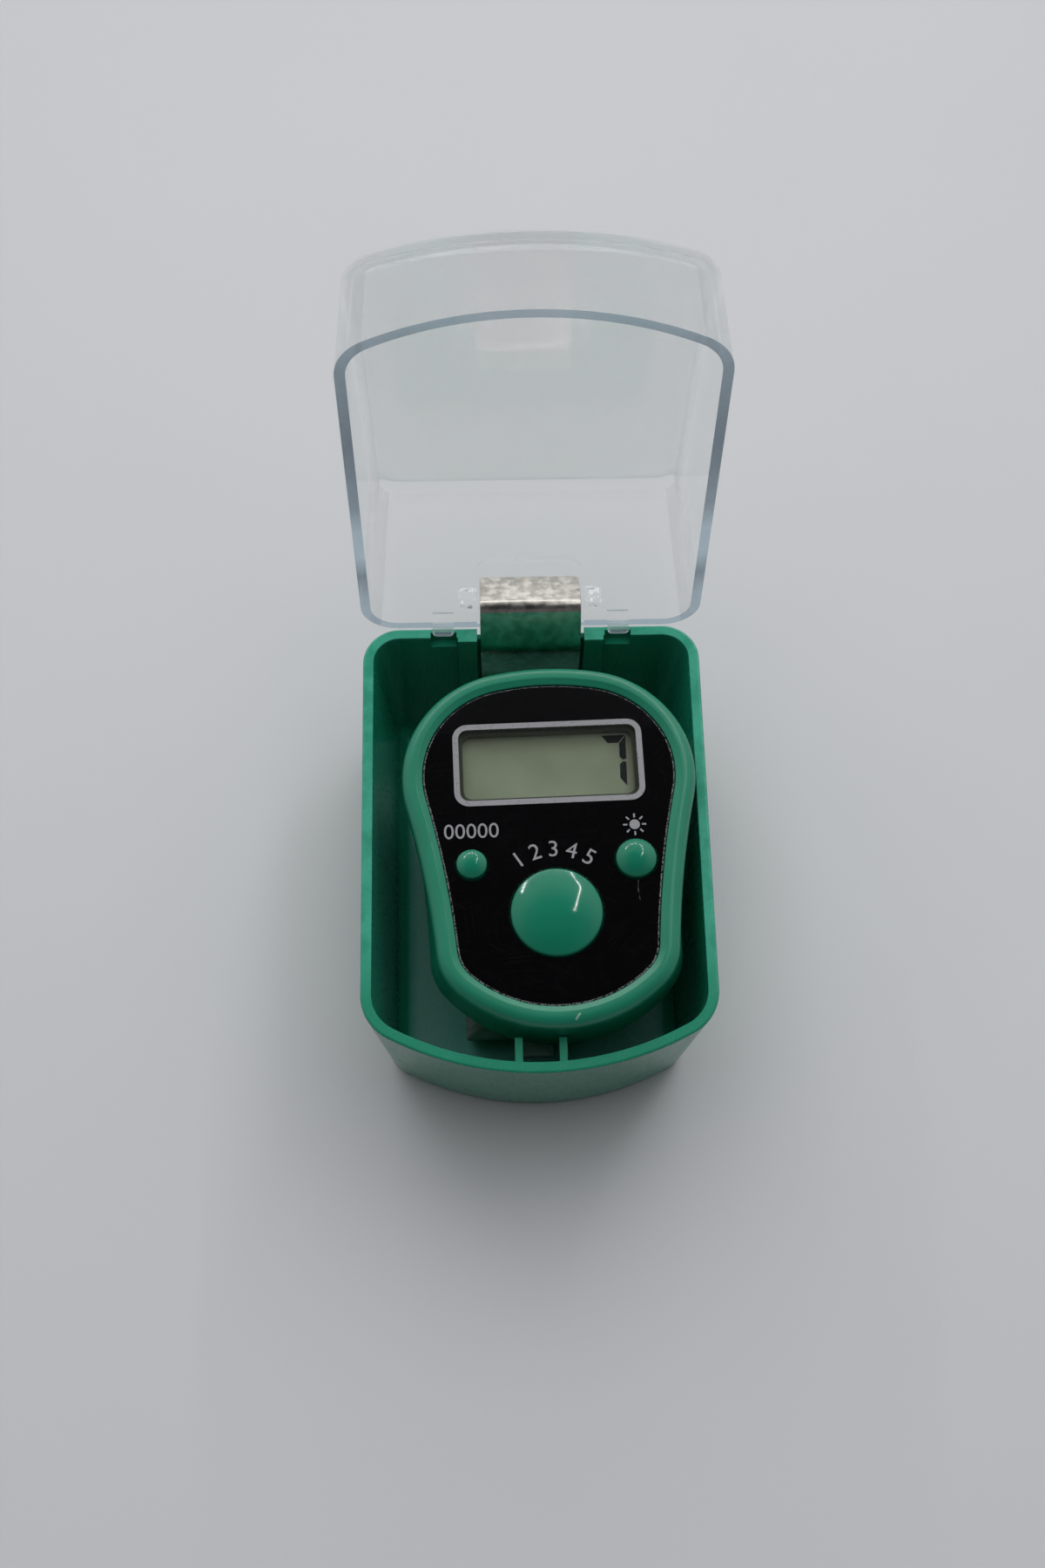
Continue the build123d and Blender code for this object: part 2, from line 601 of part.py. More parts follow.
for x, y in screw_places:
    post = disc(x, y, POST_R + POST_SHOULDER, BACK_FLOOR, PARTING_HEIGHT)
    back = back + (post & inside_back)
    back = back - disc(x, y, SCREW_CLEAR_R, 0, COUNTER_HEIGHT)
    back = back - disc(x, y, SCREW_HEAD_R + SCREW_HEAD_GAP, 0, SCREW_HEAD_SUNK + SCREW_HEAD_THICK)
cover_front = -BAR_Y + slot_half + COVER_END
cover_rear = COVER_SCREW_Y + POST_R
cover_depth = cover_rear - cover_front
cover_y = (cover_rear + cover_front) / 2
back = back - block(
    COVER_WIDTH + 2 * COVER_GAP, cover_depth + 2 * COVER_GAP, COVER_CORNER_R + COVER_GAP,
    0, cover_y, 0, COVER_THICK,
)
back = back - disc(0, CELL_Y, cell_well_r, 0, cell_top)
back = back - disc(0, COVER_SCREW_Y, PILOT_R, 0, BACK_FLOOR + COVER_SCREW_HOLD)
nodes["back_shell"] = back


# Screws: flat heads with a single driver slot
def screw(x, y, head_bottom, head_thick, tip):
    head_top = head_bottom + head_thick
    head = disc(x, y, SCREW_HEAD_R, head_bottom, head_top)
    slot = block(2 * SCREW_HEAD_R, SCREW_SLOT, 0, x, y, head_bottom, head_bottom + head_thick / 2)
    return head + disc(x, y, SCREW_R, head_top, tip) - slot


tip = DECK_UNDER - SCREW_TIP_GAP
nodes["shell_screws"] = Compound(
    [screw(x, y, SCREW_HEAD_SUNK, SCREW_HEAD_THICK, tip).solid() for x, y in screw_places]
)

# Battery cover with its own screw, and the button cell that it carries
cover = block(COVER_WIDTH, cover_depth, COVER_CORNER_R, 0, cover_y, 0, COVER_THICK)
cover = cover - disc(0, COVER_SCREW_Y, SCREW_CLEAR_R, 0, COVER_THICK)
cover = cover - disc(0, COVER_SCREW_Y, SCREW_HEAD_R + SCREW_HEAD_GAP, 0, COVER_HEAD_THICK)
nodes["battery_cover"] = cover
nodes["battery_cover_screw"] = screw(0, COVER_SCREW_Y, 0, COVER_HEAD_THICK, COVER_SCREW_LENGTH)
can = disc(0, CELL_Y, CELL_DIAMETER / 2, COVER_THICK, cell_top - CELL_CAP_THICK)
can = fillet(can.edges(), CELL_CAN_R)
nodes["button_cell"] = can + disc(0, CELL_Y, CELL_CAP_DIAMETER / 2, cell_top - CELL_CAP_THICK, cell_top)

# Cell contacts: a bowed leaf on the cap and an upright tab against the can
leaf_top = BOARD_UNDER - CONTACT_THICK / 2
leaf_low = cell_top + CONTACT_THICK / 2
leaf_half = CONTACT_SPAN / 2
leaf_points = [
    (CELL_Y - leaf_half - CONTACT_WIDTH / 2, leaf_top),
    (CELL_Y - leaf_half, leaf_top),
    (CELL_Y - leaf_half / 4, leaf_low),
    (CELL_Y + leaf_half / 4, leaf_low),
    (CELL_Y + leaf_half, leaf_top - CONTACT_THICK),
]
nodes["cell_cap_contact"] = band(leaf_points, CONTACT_THICK * 2, CONTACT_THICK, CONTACT_WIDTH)
tab_y = CELL_Y + CELL_DIAMETER / 2 + CONTACT_THICK / 2
tab_points = [
    (tab_y, COVER_THICK + CELL_THICK / 2),
    (tab_y, leaf_top),
    (tab_y + CONTACT_WIDTH / 2, leaf_top),
]
nodes["cell_can_contact"] = band(tab_points, CONTACT_THICK * 2, CONTACT_THICK, CONTACT_WIDTH / 2)

# Finger strap: looped over both bars, leaning aside to lie flat on the case's floor, with a
# recessed tongue in front
strap_low = STRAP_THICK / 2 - STRAP_LOOP_HEIGHT
bend_y = BAR_Y + STRAP_BULGE
strap_lean = STRAP_X - COUNTER_X - bend_y * math.sin(math.radians(COUNTER_TURN))
strap_points = [
    (-BAR_Y - BAR_R, BAR_HEIGHT),
    (-bend_y, strap_low / 2),
    (-BAR_Y, strap_low),
    (BAR_Y, strap_low),
    (bend_y, strap_low / 2),
    (BAR_Y + BAR_R, BAR_HEIGHT),
]
strap = band(strap_points, STRAP_BEND_R, STRAP_THICK, STRAP_WIDTH + 2 * abs(strap_lean))
strap_half = STRAP_WIDTH / 2
strap_front_view = Polyline(
    (-strap_half, slot_top),
    (strap_half, slot_top),
    (strap_half, 0),
    (strap_half + strap_lean, -STRAP_LEAN_DROP),
    (strap_half + strap_lean, -STRAP_LOOP_HEIGHT),
    (strap_lean - strap_half, -STRAP_LOOP_HEIGHT),
    (strap_lean - strap_half, -STRAP_LEAN_DROP),
    (-strap_half, 0),
    close=True,
)
strap = strap & extrude(Plane.XZ * make_face(strap_front_view), amount=COUNTER_LENGTH, both=True)
for side in (-1, 1):
    eye = Pos(0, side * BAR_Y, BAR_HEIGHT) * Rot(0, 90, 0) * Cylinder(
        BAR_R + BAR_FIT + STRAP_THICK, STRAP_WIDTH
    )
    bore = Pos(0, side * BAR_Y, BAR_HEIGHT) * Rot(0, 90, 0) * Cylinder(BAR_R + BAR_FIT, STRAP_WIDTH)
    strap = strap + eye - bore
tail_y = -bend_y - TAIL_LENGTH / 2
tail = block(
    TAIL_WIDTH, TAIL_LENGTH + STRAP_THICK, 0, strap_lean, tail_y,
    -TAIL_BELOW - TAIL_THICK, -TAIL_BELOW,
)
tail = tail - block(
    TAIL_WIDTH - 2 * TAIL_BORDER, TAIL_LENGTH - 2 * TAIL_BORDER, 0, strap_lean, tail_y,
    -TAIL_BELOW - TAIL_RECESS, -TAIL_BELOW,
)
nodes["finger_strap"] = strap + tail

# Everything but the case and its hinge lies in the counter's own frame, set down in the case
case_nodes = ("case_base", "case_lid", "hinge_spring")
os.makedirs("parts", exist_ok=True)
for name, shape in nodes.items():
    placed = shape if name in case_nodes else IN_CASE * shape
    export_step(placed, "parts/" + name + ".step")
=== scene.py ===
import math

import bmesh
import bpy
from mathutils import Matrix, Vector


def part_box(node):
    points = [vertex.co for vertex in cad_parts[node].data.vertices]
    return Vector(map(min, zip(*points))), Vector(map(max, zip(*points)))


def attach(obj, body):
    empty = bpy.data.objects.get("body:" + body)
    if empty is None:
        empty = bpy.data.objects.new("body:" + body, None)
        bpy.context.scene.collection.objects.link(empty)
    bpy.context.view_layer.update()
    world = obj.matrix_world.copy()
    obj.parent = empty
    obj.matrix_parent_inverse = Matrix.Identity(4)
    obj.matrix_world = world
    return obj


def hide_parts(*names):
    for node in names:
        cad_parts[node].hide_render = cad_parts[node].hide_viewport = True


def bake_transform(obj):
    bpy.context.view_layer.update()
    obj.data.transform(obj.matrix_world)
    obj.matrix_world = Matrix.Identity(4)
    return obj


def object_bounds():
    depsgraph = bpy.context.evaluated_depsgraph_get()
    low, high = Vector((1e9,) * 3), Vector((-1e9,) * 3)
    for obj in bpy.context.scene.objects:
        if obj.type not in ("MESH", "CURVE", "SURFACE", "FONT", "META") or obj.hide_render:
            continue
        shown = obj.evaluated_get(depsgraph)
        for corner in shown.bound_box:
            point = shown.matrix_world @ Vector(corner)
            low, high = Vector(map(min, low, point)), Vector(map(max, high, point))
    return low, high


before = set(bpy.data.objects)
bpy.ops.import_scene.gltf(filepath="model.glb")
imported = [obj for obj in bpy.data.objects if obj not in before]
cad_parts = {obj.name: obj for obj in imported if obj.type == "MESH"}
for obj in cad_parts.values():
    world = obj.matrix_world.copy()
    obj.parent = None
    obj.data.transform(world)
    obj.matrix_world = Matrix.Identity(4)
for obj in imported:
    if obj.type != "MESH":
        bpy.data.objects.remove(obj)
cad_low, cad_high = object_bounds()


# The case base: a tapered tub with a bowed front, moulded in deep green styrene.
# The walls have a soft gloss, the well's floor is painted paler as a painted reflection of the lamp
# above, and the rim is painted paler toward the back and sides, in patches, as painted sheen.
MM = 0.001
GREEN = (0.0092, 0.221, 0.127)
GREEN_DEEP = (0.0082, 0.204, 0.116)


class Value:
    """A number in a material. Arithmetic with it adds Math nodes."""

    def __init__(self, finish, socket):
        self.finish = finish
        self.socket = socket

    def math(self, operation, first, second):
        return self.finish.node("Math", {"operation": operation}, {0: first, 1: second})

    def __add__(self, other):
        return self.math("ADD", self, other)

    def __radd__(self, other):
        return self.math("ADD", other, self)

    def __sub__(self, other):
        return self.math("SUBTRACT", self, other)

    def __rsub__(self, other):
        return self.math("SUBTRACT", other, self)

    def __mul__(self, other):
        return self.math("MULTIPLY", self, other)

    def __rmul__(self, other):
        return self.math("MULTIPLY", other, self)


class Finish:
    """A material as it is mixed: node() adds any node, and the rest are its everyday uses."""

    def __init__(self, name):
        self.material = bpy.data.materials.new(name)
        self.material.use_nodes = True
        self.tree = self.material.node_tree
        self.shader = self.tree.nodes["Principled BSDF"]
        self.place = self.node("TexCoord", output="Object")

    def node(self, kind, settings=None, inputs=None, output=0):
        made = self.tree.nodes.new("ShaderNode" + kind)
        for name, value in (settings or {}).items():
            setattr(made, name, value)
        for name, value in (inputs or {}).items():
            self.feed(made.inputs[name], value)
        return Value(self, made.outputs[output])

    def feed(self, socket, value):
        if isinstance(value, Value):
            self.tree.links.new(value.socket, socket)
        else:
            socket.default_value = value

    def shade(self, values):
        for name, value in values.items():
            self.feed(self.shader.inputs[name], value)
        return self

    def grain(self, size, detail=2.0, turn=(0, 0, 0)):
        """Noise whose patches have this size in metres, one number or one for each axis."""
        sizes = size if isinstance(size, tuple) else (size, size, size)
        spread = self.node(
            "Mapping", {"vector_type": "TEXTURE"},
            {"Vector": self.place, "Rotation": turn, "Scale": sizes},
        )
        return self.node("TexNoise", {}, {"Vector": spread, "Scale": 1.0, "Detail": detail})

    def between(self, value, low, high):
        """0 up to low, 1 from high, and a soft step between them."""
        soft = {"interpolation_type": "SMOOTHSTEP"}
        return self.node("MapRange", soft, {"Value": value, "From Min": low, "From Max": high})

    def tint(self, share, plain, stained):
        colours = {0: share, 6: plain, 7: stained}
        return self.node("Mix", {"data_type": "RGBA"}, colours, output=2)

    def axis(self, name, vector=None):
        """One of X, Y and Z of the place, or of another vector."""
        return self.node("SeparateXYZ", {}, {0: vector or self.place}, output=name)

    def hairlines(self, length, width, turns):
        """Fine scratches lying along the given turns about Z."""
        total = 0.0
        for turn in turns:
            streak = self.grain((length, width, length), 1.0, (0, 0, math.radians(turn)))
            total = self.between(streak, 0.68, 0.72) + total
        return total

    def soft_edge(self, radius):
        return self.node("Bevel", {"samples": 4}, {"Radius": radius})

    def relief(self, height, depth, normal=None):
        inputs = {"Height": height, "Distance": depth}
        if normal is not None:
            inputs["Normal"] = normal
        return self.node("Bump", {}, inputs)


def dress(finish, *names):
    for name in names:
        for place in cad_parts[name].material_slots:
            place.material = finish.material


def green_plastic(name, tone, gloss, scuffs):
    """Deep green moulded styrene with faint flow clouds, handling haze and hairline scratches."""
    finish = Finish(name)
    plain, deep = ([tone * part for part in green] + [1] for green in (GREEN, GREEN_DEEP))
    flow = finish.between(finish.grain(4.5 * MM, 2.0), 0.3, 0.7)
    haze = finish.between(finish.grain(1.6 * MM, 4.0), 0.45, 0.75)
    hairs = finish.hairlines(5 * MM, 0.06 * MM, (20, 75, 140))
    peel = finish.grain(0.7 * MM, 1.0)
    finish.colour = finish.tint(flow, deep, plain)
    return finish.shade({
        "Base Color": finish.colour,
        "Roughness": gloss + 0.04 * haze + scuffs * hairs,
        "IOR": 1.55,
        "Normal": finish.relief(peel - 0.4 * hairs, 0.012 * MM * scuffs, finish.soft_edge(0.12 * MM)),
    })


# The case takes the lightest copy of the styrene green, painted light; the counter's halves and buttons
# take darker copies as painted shade.
case = green_plastic("case green", tone=1.05, gloss=0.22, scuffs=0.12)
RIM_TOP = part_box("case_base")[1].z
WELL_FLOOR = 1.2 * MM
# Painted sheen on the rim: paler toward the back and sides, in patches, standing in for light caught by
# the rim.
rim = case.between(case.axis("Z"), RIM_TOP - 0.5 * MM, RIM_TOP - 0.1 * MM)
rim_sheen_patches = case.between(case.grain(2.2 * MM, 3.0), 0.35, 0.6)
rim_lit_toward_back = case.between(case.axis("Y"), -19 * MM, -8 * MM)
rim_painted_sheen = rim * rim_lit_toward_back * (0.3 + 0.4 * rim_sheen_patches)
# Painted reflection: the well's upward-facing floor is painted a paler teal as the sheen of the
# overhead lamp.
case_upward = case.between(case.axis("Z", case.node("TexCoord", output="Normal")), 0.8, 0.95)
well_floor_painted_sheen = case_upward * (1 - case.between(case.axis("Z"), WELL_FLOOR, WELL_FLOOR + 0.5 * MM))
case_with_painted_rim_sheen = case.tint(rim_painted_sheen, case.colour, (0.05, 0.38, 0.26, 1))
case.shade({"Base Color": case.tint(well_floor_painted_sheen * 0.7, case_with_painted_rim_sheen, (0.13, 0.42, 0.36, 1))})
dress(case, "case_base")


# The hinge spring: one nickel-plated steel strip. Its arm is hooked in the lid's pocket, it rides
# over the rim in a sharp ridge and its leaf runs down a channel in the base, so the lid snaps.
SPRING_PATH = ((29.55, 21.47), (24.8, 24.4), (22.1, 19.8), (22.14, 11.4))
SPRING_RADII = (0.8, 3.0)
SPRING_THICK = 0.35 * MM
SPRING_CORNER = 0.6 * MM
SPRING_EDGE = 0.07 * MM
SPRING_ARM = (24.2 * MM, 24.9 * MM)
SAME_PLACE = 1e-7
TOUCHING = 1e-8
SHARP_BEND = math.radians(35)
CUT_BEND = math.radians(50)
spring_low, spring_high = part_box("hinge_spring")


def strip_along(bm, path, radii, low_x, high_x, segments):
    """A sheet from low_x to high_x that follows points of (y, z) in mm, its bends rounded."""
    points = [Vector((low_x, y * MM, z * MM)) for y, z in path]
    row = [bm.verts.new(point) for point in points]
    edges = [bm.edges.new(pair) for pair in zip(row, row[1:])]
    swept = bmesh.ops.extrude_edge_only(bm, edges=edges)["geom"]
    far = [item for item in swept if isinstance(item, bmesh.types.BMVert)]
    bmesh.ops.translate(bm, verts=far, vec=(high_x - low_x, 0, 0))
    for before, point, after, radius in zip(points, points[1:], points[2:], radii):
        bend = (point - before).angle(after - point)
        fold = [e for e in bm.edges if all((v.co - point).yz.length < SAME_PLACE for v in e.verts)]
        bmesh.ops.bevel(
            bm, geom=fold, offset=radius * MM * math.tan(bend / 2), offset_type="OFFSET",
            segments=segments, profile=0.5, affect="EDGES", material=-1,
        )


def piece_from(bm, name, finish):
    """Closes a bmesh into a named object of one finish, smooth but for its sharp corners."""
    bmesh.ops.remove_doubles(bm, verts=bm.verts, dist=TOUCHING)
    bmesh.ops.recalc_face_normals(bm, faces=bm.faces)
    mesh = bpy.data.meshes.new(name)
    bm.to_mesh(mesh)
    bm.free()
    mesh.materials.append(finish.material)
    mesh.shade_smooth()
    mesh.set_sharp_from_angle(angle=SHARP_BEND)
    piece = bpy.data.objects.new(name, mesh)
    bpy.context.collection.objects.link(piece)
    return piece


def thicken(piece, thickness, edge):
    """Gives a sheet its thickness, half to each side, and eases its cut edges."""
    wall = piece.modifiers.new("wall", "SOLIDIFY")
    wall.thickness = thickness
    wall.offset = 0
    wall.use_even_offset = True
    eased = piece.modifiers.new("eased edge", "BEVEL")
    eased.width = edge
    eased.segments = 2
    eased.limit_method = "ANGLE"
    eased.angle_limit = CUT_BEND


def nickel(name, brush, blotches):
    """Bright nickel: brush lines along the strip, cloudy patches and a breath of warm tarnish."""
    finish = Finish(name)
    lines = finish.grain((0.05 * MM, brush, brush), 2.0)
    cloud = finish.between(finish.grain(0.9 * MM, 5.0), 0.35, 0.65)
    warm = finish.between(finish.grain(3.5 * MM, 2.0), 0.5, 0.75)
    clean = finish.tint(cloud, (0.50, 0.48, 0.43, 1), (0.74, 0.715, 0.655, 1))
    finish.dullness = 0.24 + blotches * cloud + 0.10 * lines
    finish.texture = lines + 0.5 * cloud
    return finish.shade({
        "Base Color": finish.tint(warm * 0.5, clean, (0.60, 0.52, 0.40, 1)),
        "Metallic": 1.0,
        "Roughness": finish.dullness,
        "Normal": finish.relief(finish.texture, 0.0012 * MM),
    })


bm = bmesh.new()
strip_along(bm, SPRING_PATH, SPRING_RADII, spring_low.x, spring_high.x, segments=12)
tips = [v for v in bm.verts if v.co.y > spring_high.y - SPRING_CORNER]
bmesh.ops.bevel(
    bm, geom=tips, offset=SPRING_CORNER, offset_type="OFFSET",
    segments=4, profile=0.5, affect="VERTICES", material=-1,
)
spring_nickel = nickel("spring nickel", brush=6 * MM, blotches=0.14)
spring_arm = spring_nickel.between(spring_nickel.axis("Y"), *SPRING_ARM)
spring_nickel.shade({
    "Roughness": spring_nickel.dullness * (0.45 + 0.55 * spring_arm),
    "Normal": spring_nickel.relief(spring_nickel.texture * spring_arm, 0.004 * MM),
})
spring = piece_from(bm, "hinge_clip", spring_nickel)
thicken(spring, SPRING_THICK, SPRING_EDGE)
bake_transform(spring)
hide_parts("hinge_spring")


# The lid: a clear crystal styrene moulding with two lugs that clip over the base's rear rim.
# It is polished inside and out, bluish through its thickness, and lightly scratched by keys.
LID_STRAIGHT = 0.62
LID_ABSORPTION = 5.0
lid = Finish("clear lid")
lid_marks = lid.hairlines(7 * MM, 0.05 * MM, (10, 64, 118))
lid_dust = lid.between(lid.grain(0.25 * MM, 1.0), 0.74, 0.8)
lid_flow = lid.grain((3 * MM, 9 * MM, 3 * MM), 1.0)
lid.shade({
    "Base Color": (1, 1, 1, 1),
    "Roughness": 0.03 + 0.10 * lid_marks + 0.18 * lid_dust,
    "IOR": 1.57,
    "Transmission Weight": 1.0,
    "Normal": lid.relief(lid_flow - 0.02 * lid_marks, 0.012 * MM),
})
lid_output = lid.tree.nodes["Material Output"]
lid_through = lid.node("BsdfTransparent", {}, {"Color": (1, 1, 1, 1)})
lid_body = Value(lid, lid.shader.outputs[0])
lid_clear = lid.node("MixShader", {}, {0: LID_STRAIGHT, 1: lid_body, 2: lid_through})

LID_HINGE = Vector((0, 23.8 * MM, 21.4 * MM))
LID_SWING = math.radians(97)
LID_DEPTH = 47.0 * MM
# Painted light and shade on the lid's mouth rim: bands along its depth are tinted dark and pale
# blue-grey, standing in for light refracted through the wall's edge.
RIM_PAINTED_BANDS = (
    (0.0, 0.9), (0.12, 0.75), (0.20, 0.3), (0.27, 0.9),
    (0.36, 0.85), (0.44, 0.35), (0.63, 0.1), (0.85, 0.3), (1.0, 0.7),
)
mouth_way = Vector((0, -math.sin(LID_SWING), -math.cos(LID_SWING)))
depth_way = Vector((0, -math.cos(LID_SWING), math.sin(LID_SWING)))


def along(finish, vector, way):
    return finish.node("VectorMath", {"operation": "DOT_PRODUCT"}, {0: vector, 1: way}, output="Value")


lid_from_hinge = lid.node("VectorMath", {"operation": "SUBTRACT"}, {0: lid.place, 1: LID_HINGE})
lid_facing = along(lid, lid.node("TexCoord", output="Normal"), mouth_way)
lid_out = along(lid, lid_from_hinge, mouth_way)
lid_rim = lid.between(lid_facing, 0.8, 0.95) * lid.between(lid_out, -0.5 * MM, -0.3 * MM)
lid_inward = along(lid, lid_from_hinge, depth_way)
rim_painted_band = lid.node("ValToRGB", {}, {0: lid_inward * (1 / LID_DEPTH)})
rim_painted_ramp = rim_painted_band.socket.node.color_ramp
rim_painted_ramp.elements.remove(rim_painted_ramp.elements[1])
for stop, tone in RIM_PAINTED_BANDS:
    element = rim_painted_ramp.elements[0] if stop == 0.0 else rim_painted_ramp.elements.new(stop)
    element.color = (tone, tone, tone, 1)
rim_painted_shade = lid.node("BsdfTransparent", {}, {"Color": (0.17, 0.21, 0.25, 1)})
rim_painted_light = lid.node("BsdfTransparent", {}, {"Color": (0.62, 0.74, 0.82, 1)})
rim_painted_refraction = lid.node("MixShader", {}, {0: rim_painted_band, 1: rim_painted_shade, 2: rim_painted_light})
lid_whole = lid.node("MixShader", {}, {0: lid_rim * 0.95, 1: lid_clear, 2: rim_painted_refraction})
NIB_DEPTH = (1.05 * MM, 2.5 * MM)
NIB_REACH = 4.2 * MM
NIB_SIDE = 7.5 * MM
nib_aside = lid.node("Math", {"operation": "ABSOLUTE"}, {0: lid.axis("X")})
nib = lid.between(lid_inward, NIB_DEPTH[0], NIB_DEPTH[0] + 0.1 * MM)
nib = nib * (1 - lid.between(lid_inward, NIB_DEPTH[1], NIB_DEPTH[1] + 0.1 * MM))
nib = nib * lid.between(lid_out, -NIB_REACH - 0.1 * MM, -NIB_REACH)
nib = nib * (1 - lid.between(nib_aside, NIB_SIDE, NIB_SIDE + 0.1 * MM))
# Painted glints on the two nibs beside the clip: a few pale diffuse specks stand in for the highlights
# that catch on them.
nib_glint_share = nib * (0.10 + 0.7 * lid.between(lid.grain(0.7 * MM, 1.0), 0.50, 0.62))
nib_painted_glint = lid.node("BsdfDiffuse", {}, {"Color": (0.88, 0.91, 0.93, 1)})
lid_with_painted_glints = lid.node("MixShader", {}, {0: nib_glint_share, 1: lid_whole, 2: nib_painted_glint})
lid.feed(lid_output.inputs["Surface"], lid_with_painted_glints)
lid_depth = lid.node(
    "VolumeAbsorption", {}, {"Color": (0.45, 0.66, 0.76, 1), "Density": LID_ABSORPTION}
)
lid.feed(lid_output.inputs["Volume"], lid_depth)
dress(lid, "case_lid")
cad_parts["case_lid"].visible_shadow = False


# The counter's lower half: the back shell and the battery cover, moulded from the same green styrene as
# the case but handled more, so a little rougher. Its green is a darker copy of the case's green,
# painted shade.
lower_half = green_plastic("counter green", tone=0.9, gloss=0.3, scuffs=0.10)
dress(lower_half, "back_shell", "battery_cover")


# The finger strap: one milky silicone band. It loops over a moulded bar at each end of the
# counter and lies slack on the case's floor, leaning to one side, with a tongue in front.
def middle(node):
    low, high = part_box(node)
    return (low + high) / 2


SMALL_BUTTONS_BACK = 2.3 * MM
reset_place = middle("reset_button")
light_place = middle("light_button")
across = (light_place - reset_place).to_2d().normalized()
towards_display = Vector((-across.y, across.x))
face_middle = (reset_place + light_place).to_2d() / 2 + towards_display * SMALL_BUTTONS_BACK
counter = Matrix.Translation((face_middle.x, face_middle.y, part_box("back_shell")[0].z))
COUNTER_TURN = math.atan2(across.y, across.x)
counter = counter @ Matrix.Rotation(COUNTER_TURN, 4, "Z")

EYE = (14.35, 1.5)
STRAP_PATH = ((-EYE[0], EYE[1]), (-15.0, -5.4), (-13.0, -10.8), (13.0, -10.8), (15.0, -5.4), EYE)
STRAP_BEND = 3.4
STRAP_HALF = 7.2 * MM
STRAP_THICK = 1.0 * MM
STRAP_EDGE = 0.22 * MM
STRAP_STEP = 2.0 * MM
STRAP_LEAN = -2.18 * MM
STRAP_LEAN_DROP = 5.0 * MM
BAR_Y = 13.0 * MM
EYE_TURN = math.radians(285)

strap_silicone = Finish("milky silicone")
strap_cloud = strap_silicone.grain(3 * MM, 3.0)
strap_fine = strap_silicone.grain(0.25 * MM, 2.0)
strap_silicone.shade({
    "Base Color": strap_silicone.tint(strap_cloud, (0.60, 0.72, 0.68, 1), (0.72, 0.81, 0.78, 1)),
    "Roughness": 0.38 + 0.15 * strap_fine,
    "IOR": 1.41,
    "Transmission Weight": 0.75,
    "Normal": strap_silicone.relief(strap_fine, 0.01 * MM),
})

bm = bmesh.new()
strip_along(bm, STRAP_PATH, (STRAP_BEND,) * 4, -STRAP_HALF, STRAP_HALF, segments=8)
for end in (-1, 1):
    top = Vector((0, end * EYE[0] * MM, EYE[1] * MM))
    lip = [e for e in bm.edges if all((v.co - top).yz.length < SAME_PLACE for v in e.verts)]
    bmesh.ops.spin(
        bm, geom=lip, cent=(0, end * BAR_Y, EYE[1] * MM), axis=(end, 0, 0),
        angle=EYE_TURN, steps=20, use_merge=False, use_normal_flip=False, use_duplicate=False,
    )
long_edges = [e for e in bm.edges if abs((e.verts[0].co - e.verts[1].co).x) < SAME_PLACE]
bmesh.ops.subdivide_edges(bm, edges=[e for e in long_edges if e.calc_length() > STRAP_STEP], cuts=5)
for v in bm.verts:
    drop = min(max(-v.co.z / STRAP_LEAN_DROP, 0.0), 1.0)
    v.co.x += STRAP_LEAN * drop
bmesh.ops.transform(bm, matrix=counter, verts=bm.verts)
strap = piece_from(bm, "strap_band", strap_silicone)
thicken(strap, STRAP_THICK, STRAP_EDGE)
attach(strap, "case")
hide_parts("finger_strap")

TONGUE = (3.2 * MM, 4.0 * MM, 0.9 * MM)
TONGUE_PLACE = (STRAP_LEAN, -16.0 * MM, -3.45 * MM)
TONGUE_BORDER = 0.55 * MM
TONGUE_RECESS = 0.4 * MM
TONGUE_EDGE = 0.13 * MM
bm = bmesh.new()
bmesh.ops.create_cube(bm, size=1.0)
bmesh.ops.scale(bm, vec=TONGUE, verts=bm.verts)
upper = [f for f in bm.faces if f.normal.z > 0.9]
bmesh.ops.inset_region(bm, faces=upper, thickness=TONGUE_BORDER)
bmesh.ops.translate(bm, vec=(0, 0, -TONGUE_RECESS), verts=upper[0].verts)
bmesh.ops.bevel(
    bm, geom=bm.edges[:], offset=TONGUE_EDGE, offset_type="OFFSET",
    segments=3, profile=0.5, affect="EDGES", material=-1,
)
bmesh.ops.transform(bm, matrix=counter @ Matrix.Translation(TONGUE_PLACE), verts=bm.verts)
tongue = piece_from(bm, "strap_tongue", strap_silicone)
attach(tongue, "case")


# The button cell and what touches it: a turned stainless can, a crimped cap and two sprung
# nickel contacts soldered to the board.
RING_SCALE = 9000.0
cell_steel = Finish("cell steel")
cell_middle = middle("button_cell")
cell_arm = cell_steel.node(
    "VectorMath", {"operation": "SUBTRACT"}, {0: cell_steel.place, 1: cell_middle}
)
cell_flat = cell_steel.node("VectorMath", {"operation": "MULTIPLY"}, {0: cell_arm, 1: (1, 1, 0)})
cell_reach = cell_steel.node("VectorMath", {"operation": "LENGTH"}, {0: cell_flat}, output="Value")
cell_rings = cell_steel.node(
    "TexNoise", {"noise_dimensions": "1D"}, {"W": cell_reach * RING_SCALE, "Scale": 1.0, "Detail": 3.0}
)
cell_steel.shade({
    "Base Color": cell_steel.tint(cell_rings, (0.48, 0.48, 0.47, 1), (0.62, 0.61, 0.59, 1)),
    "Metallic": 1.0,
    "Roughness": 0.2 + 0.15 * cell_rings,
    "Normal": cell_steel.relief(cell_rings, 0.003 * MM),
})
dress(cell_steel, "button_cell")
contact_nickel = nickel("contact nickel", brush=2 * MM, blotches=0.10)
dress(contact_nickel, "cell_cap_contact", "cell_can_contact")


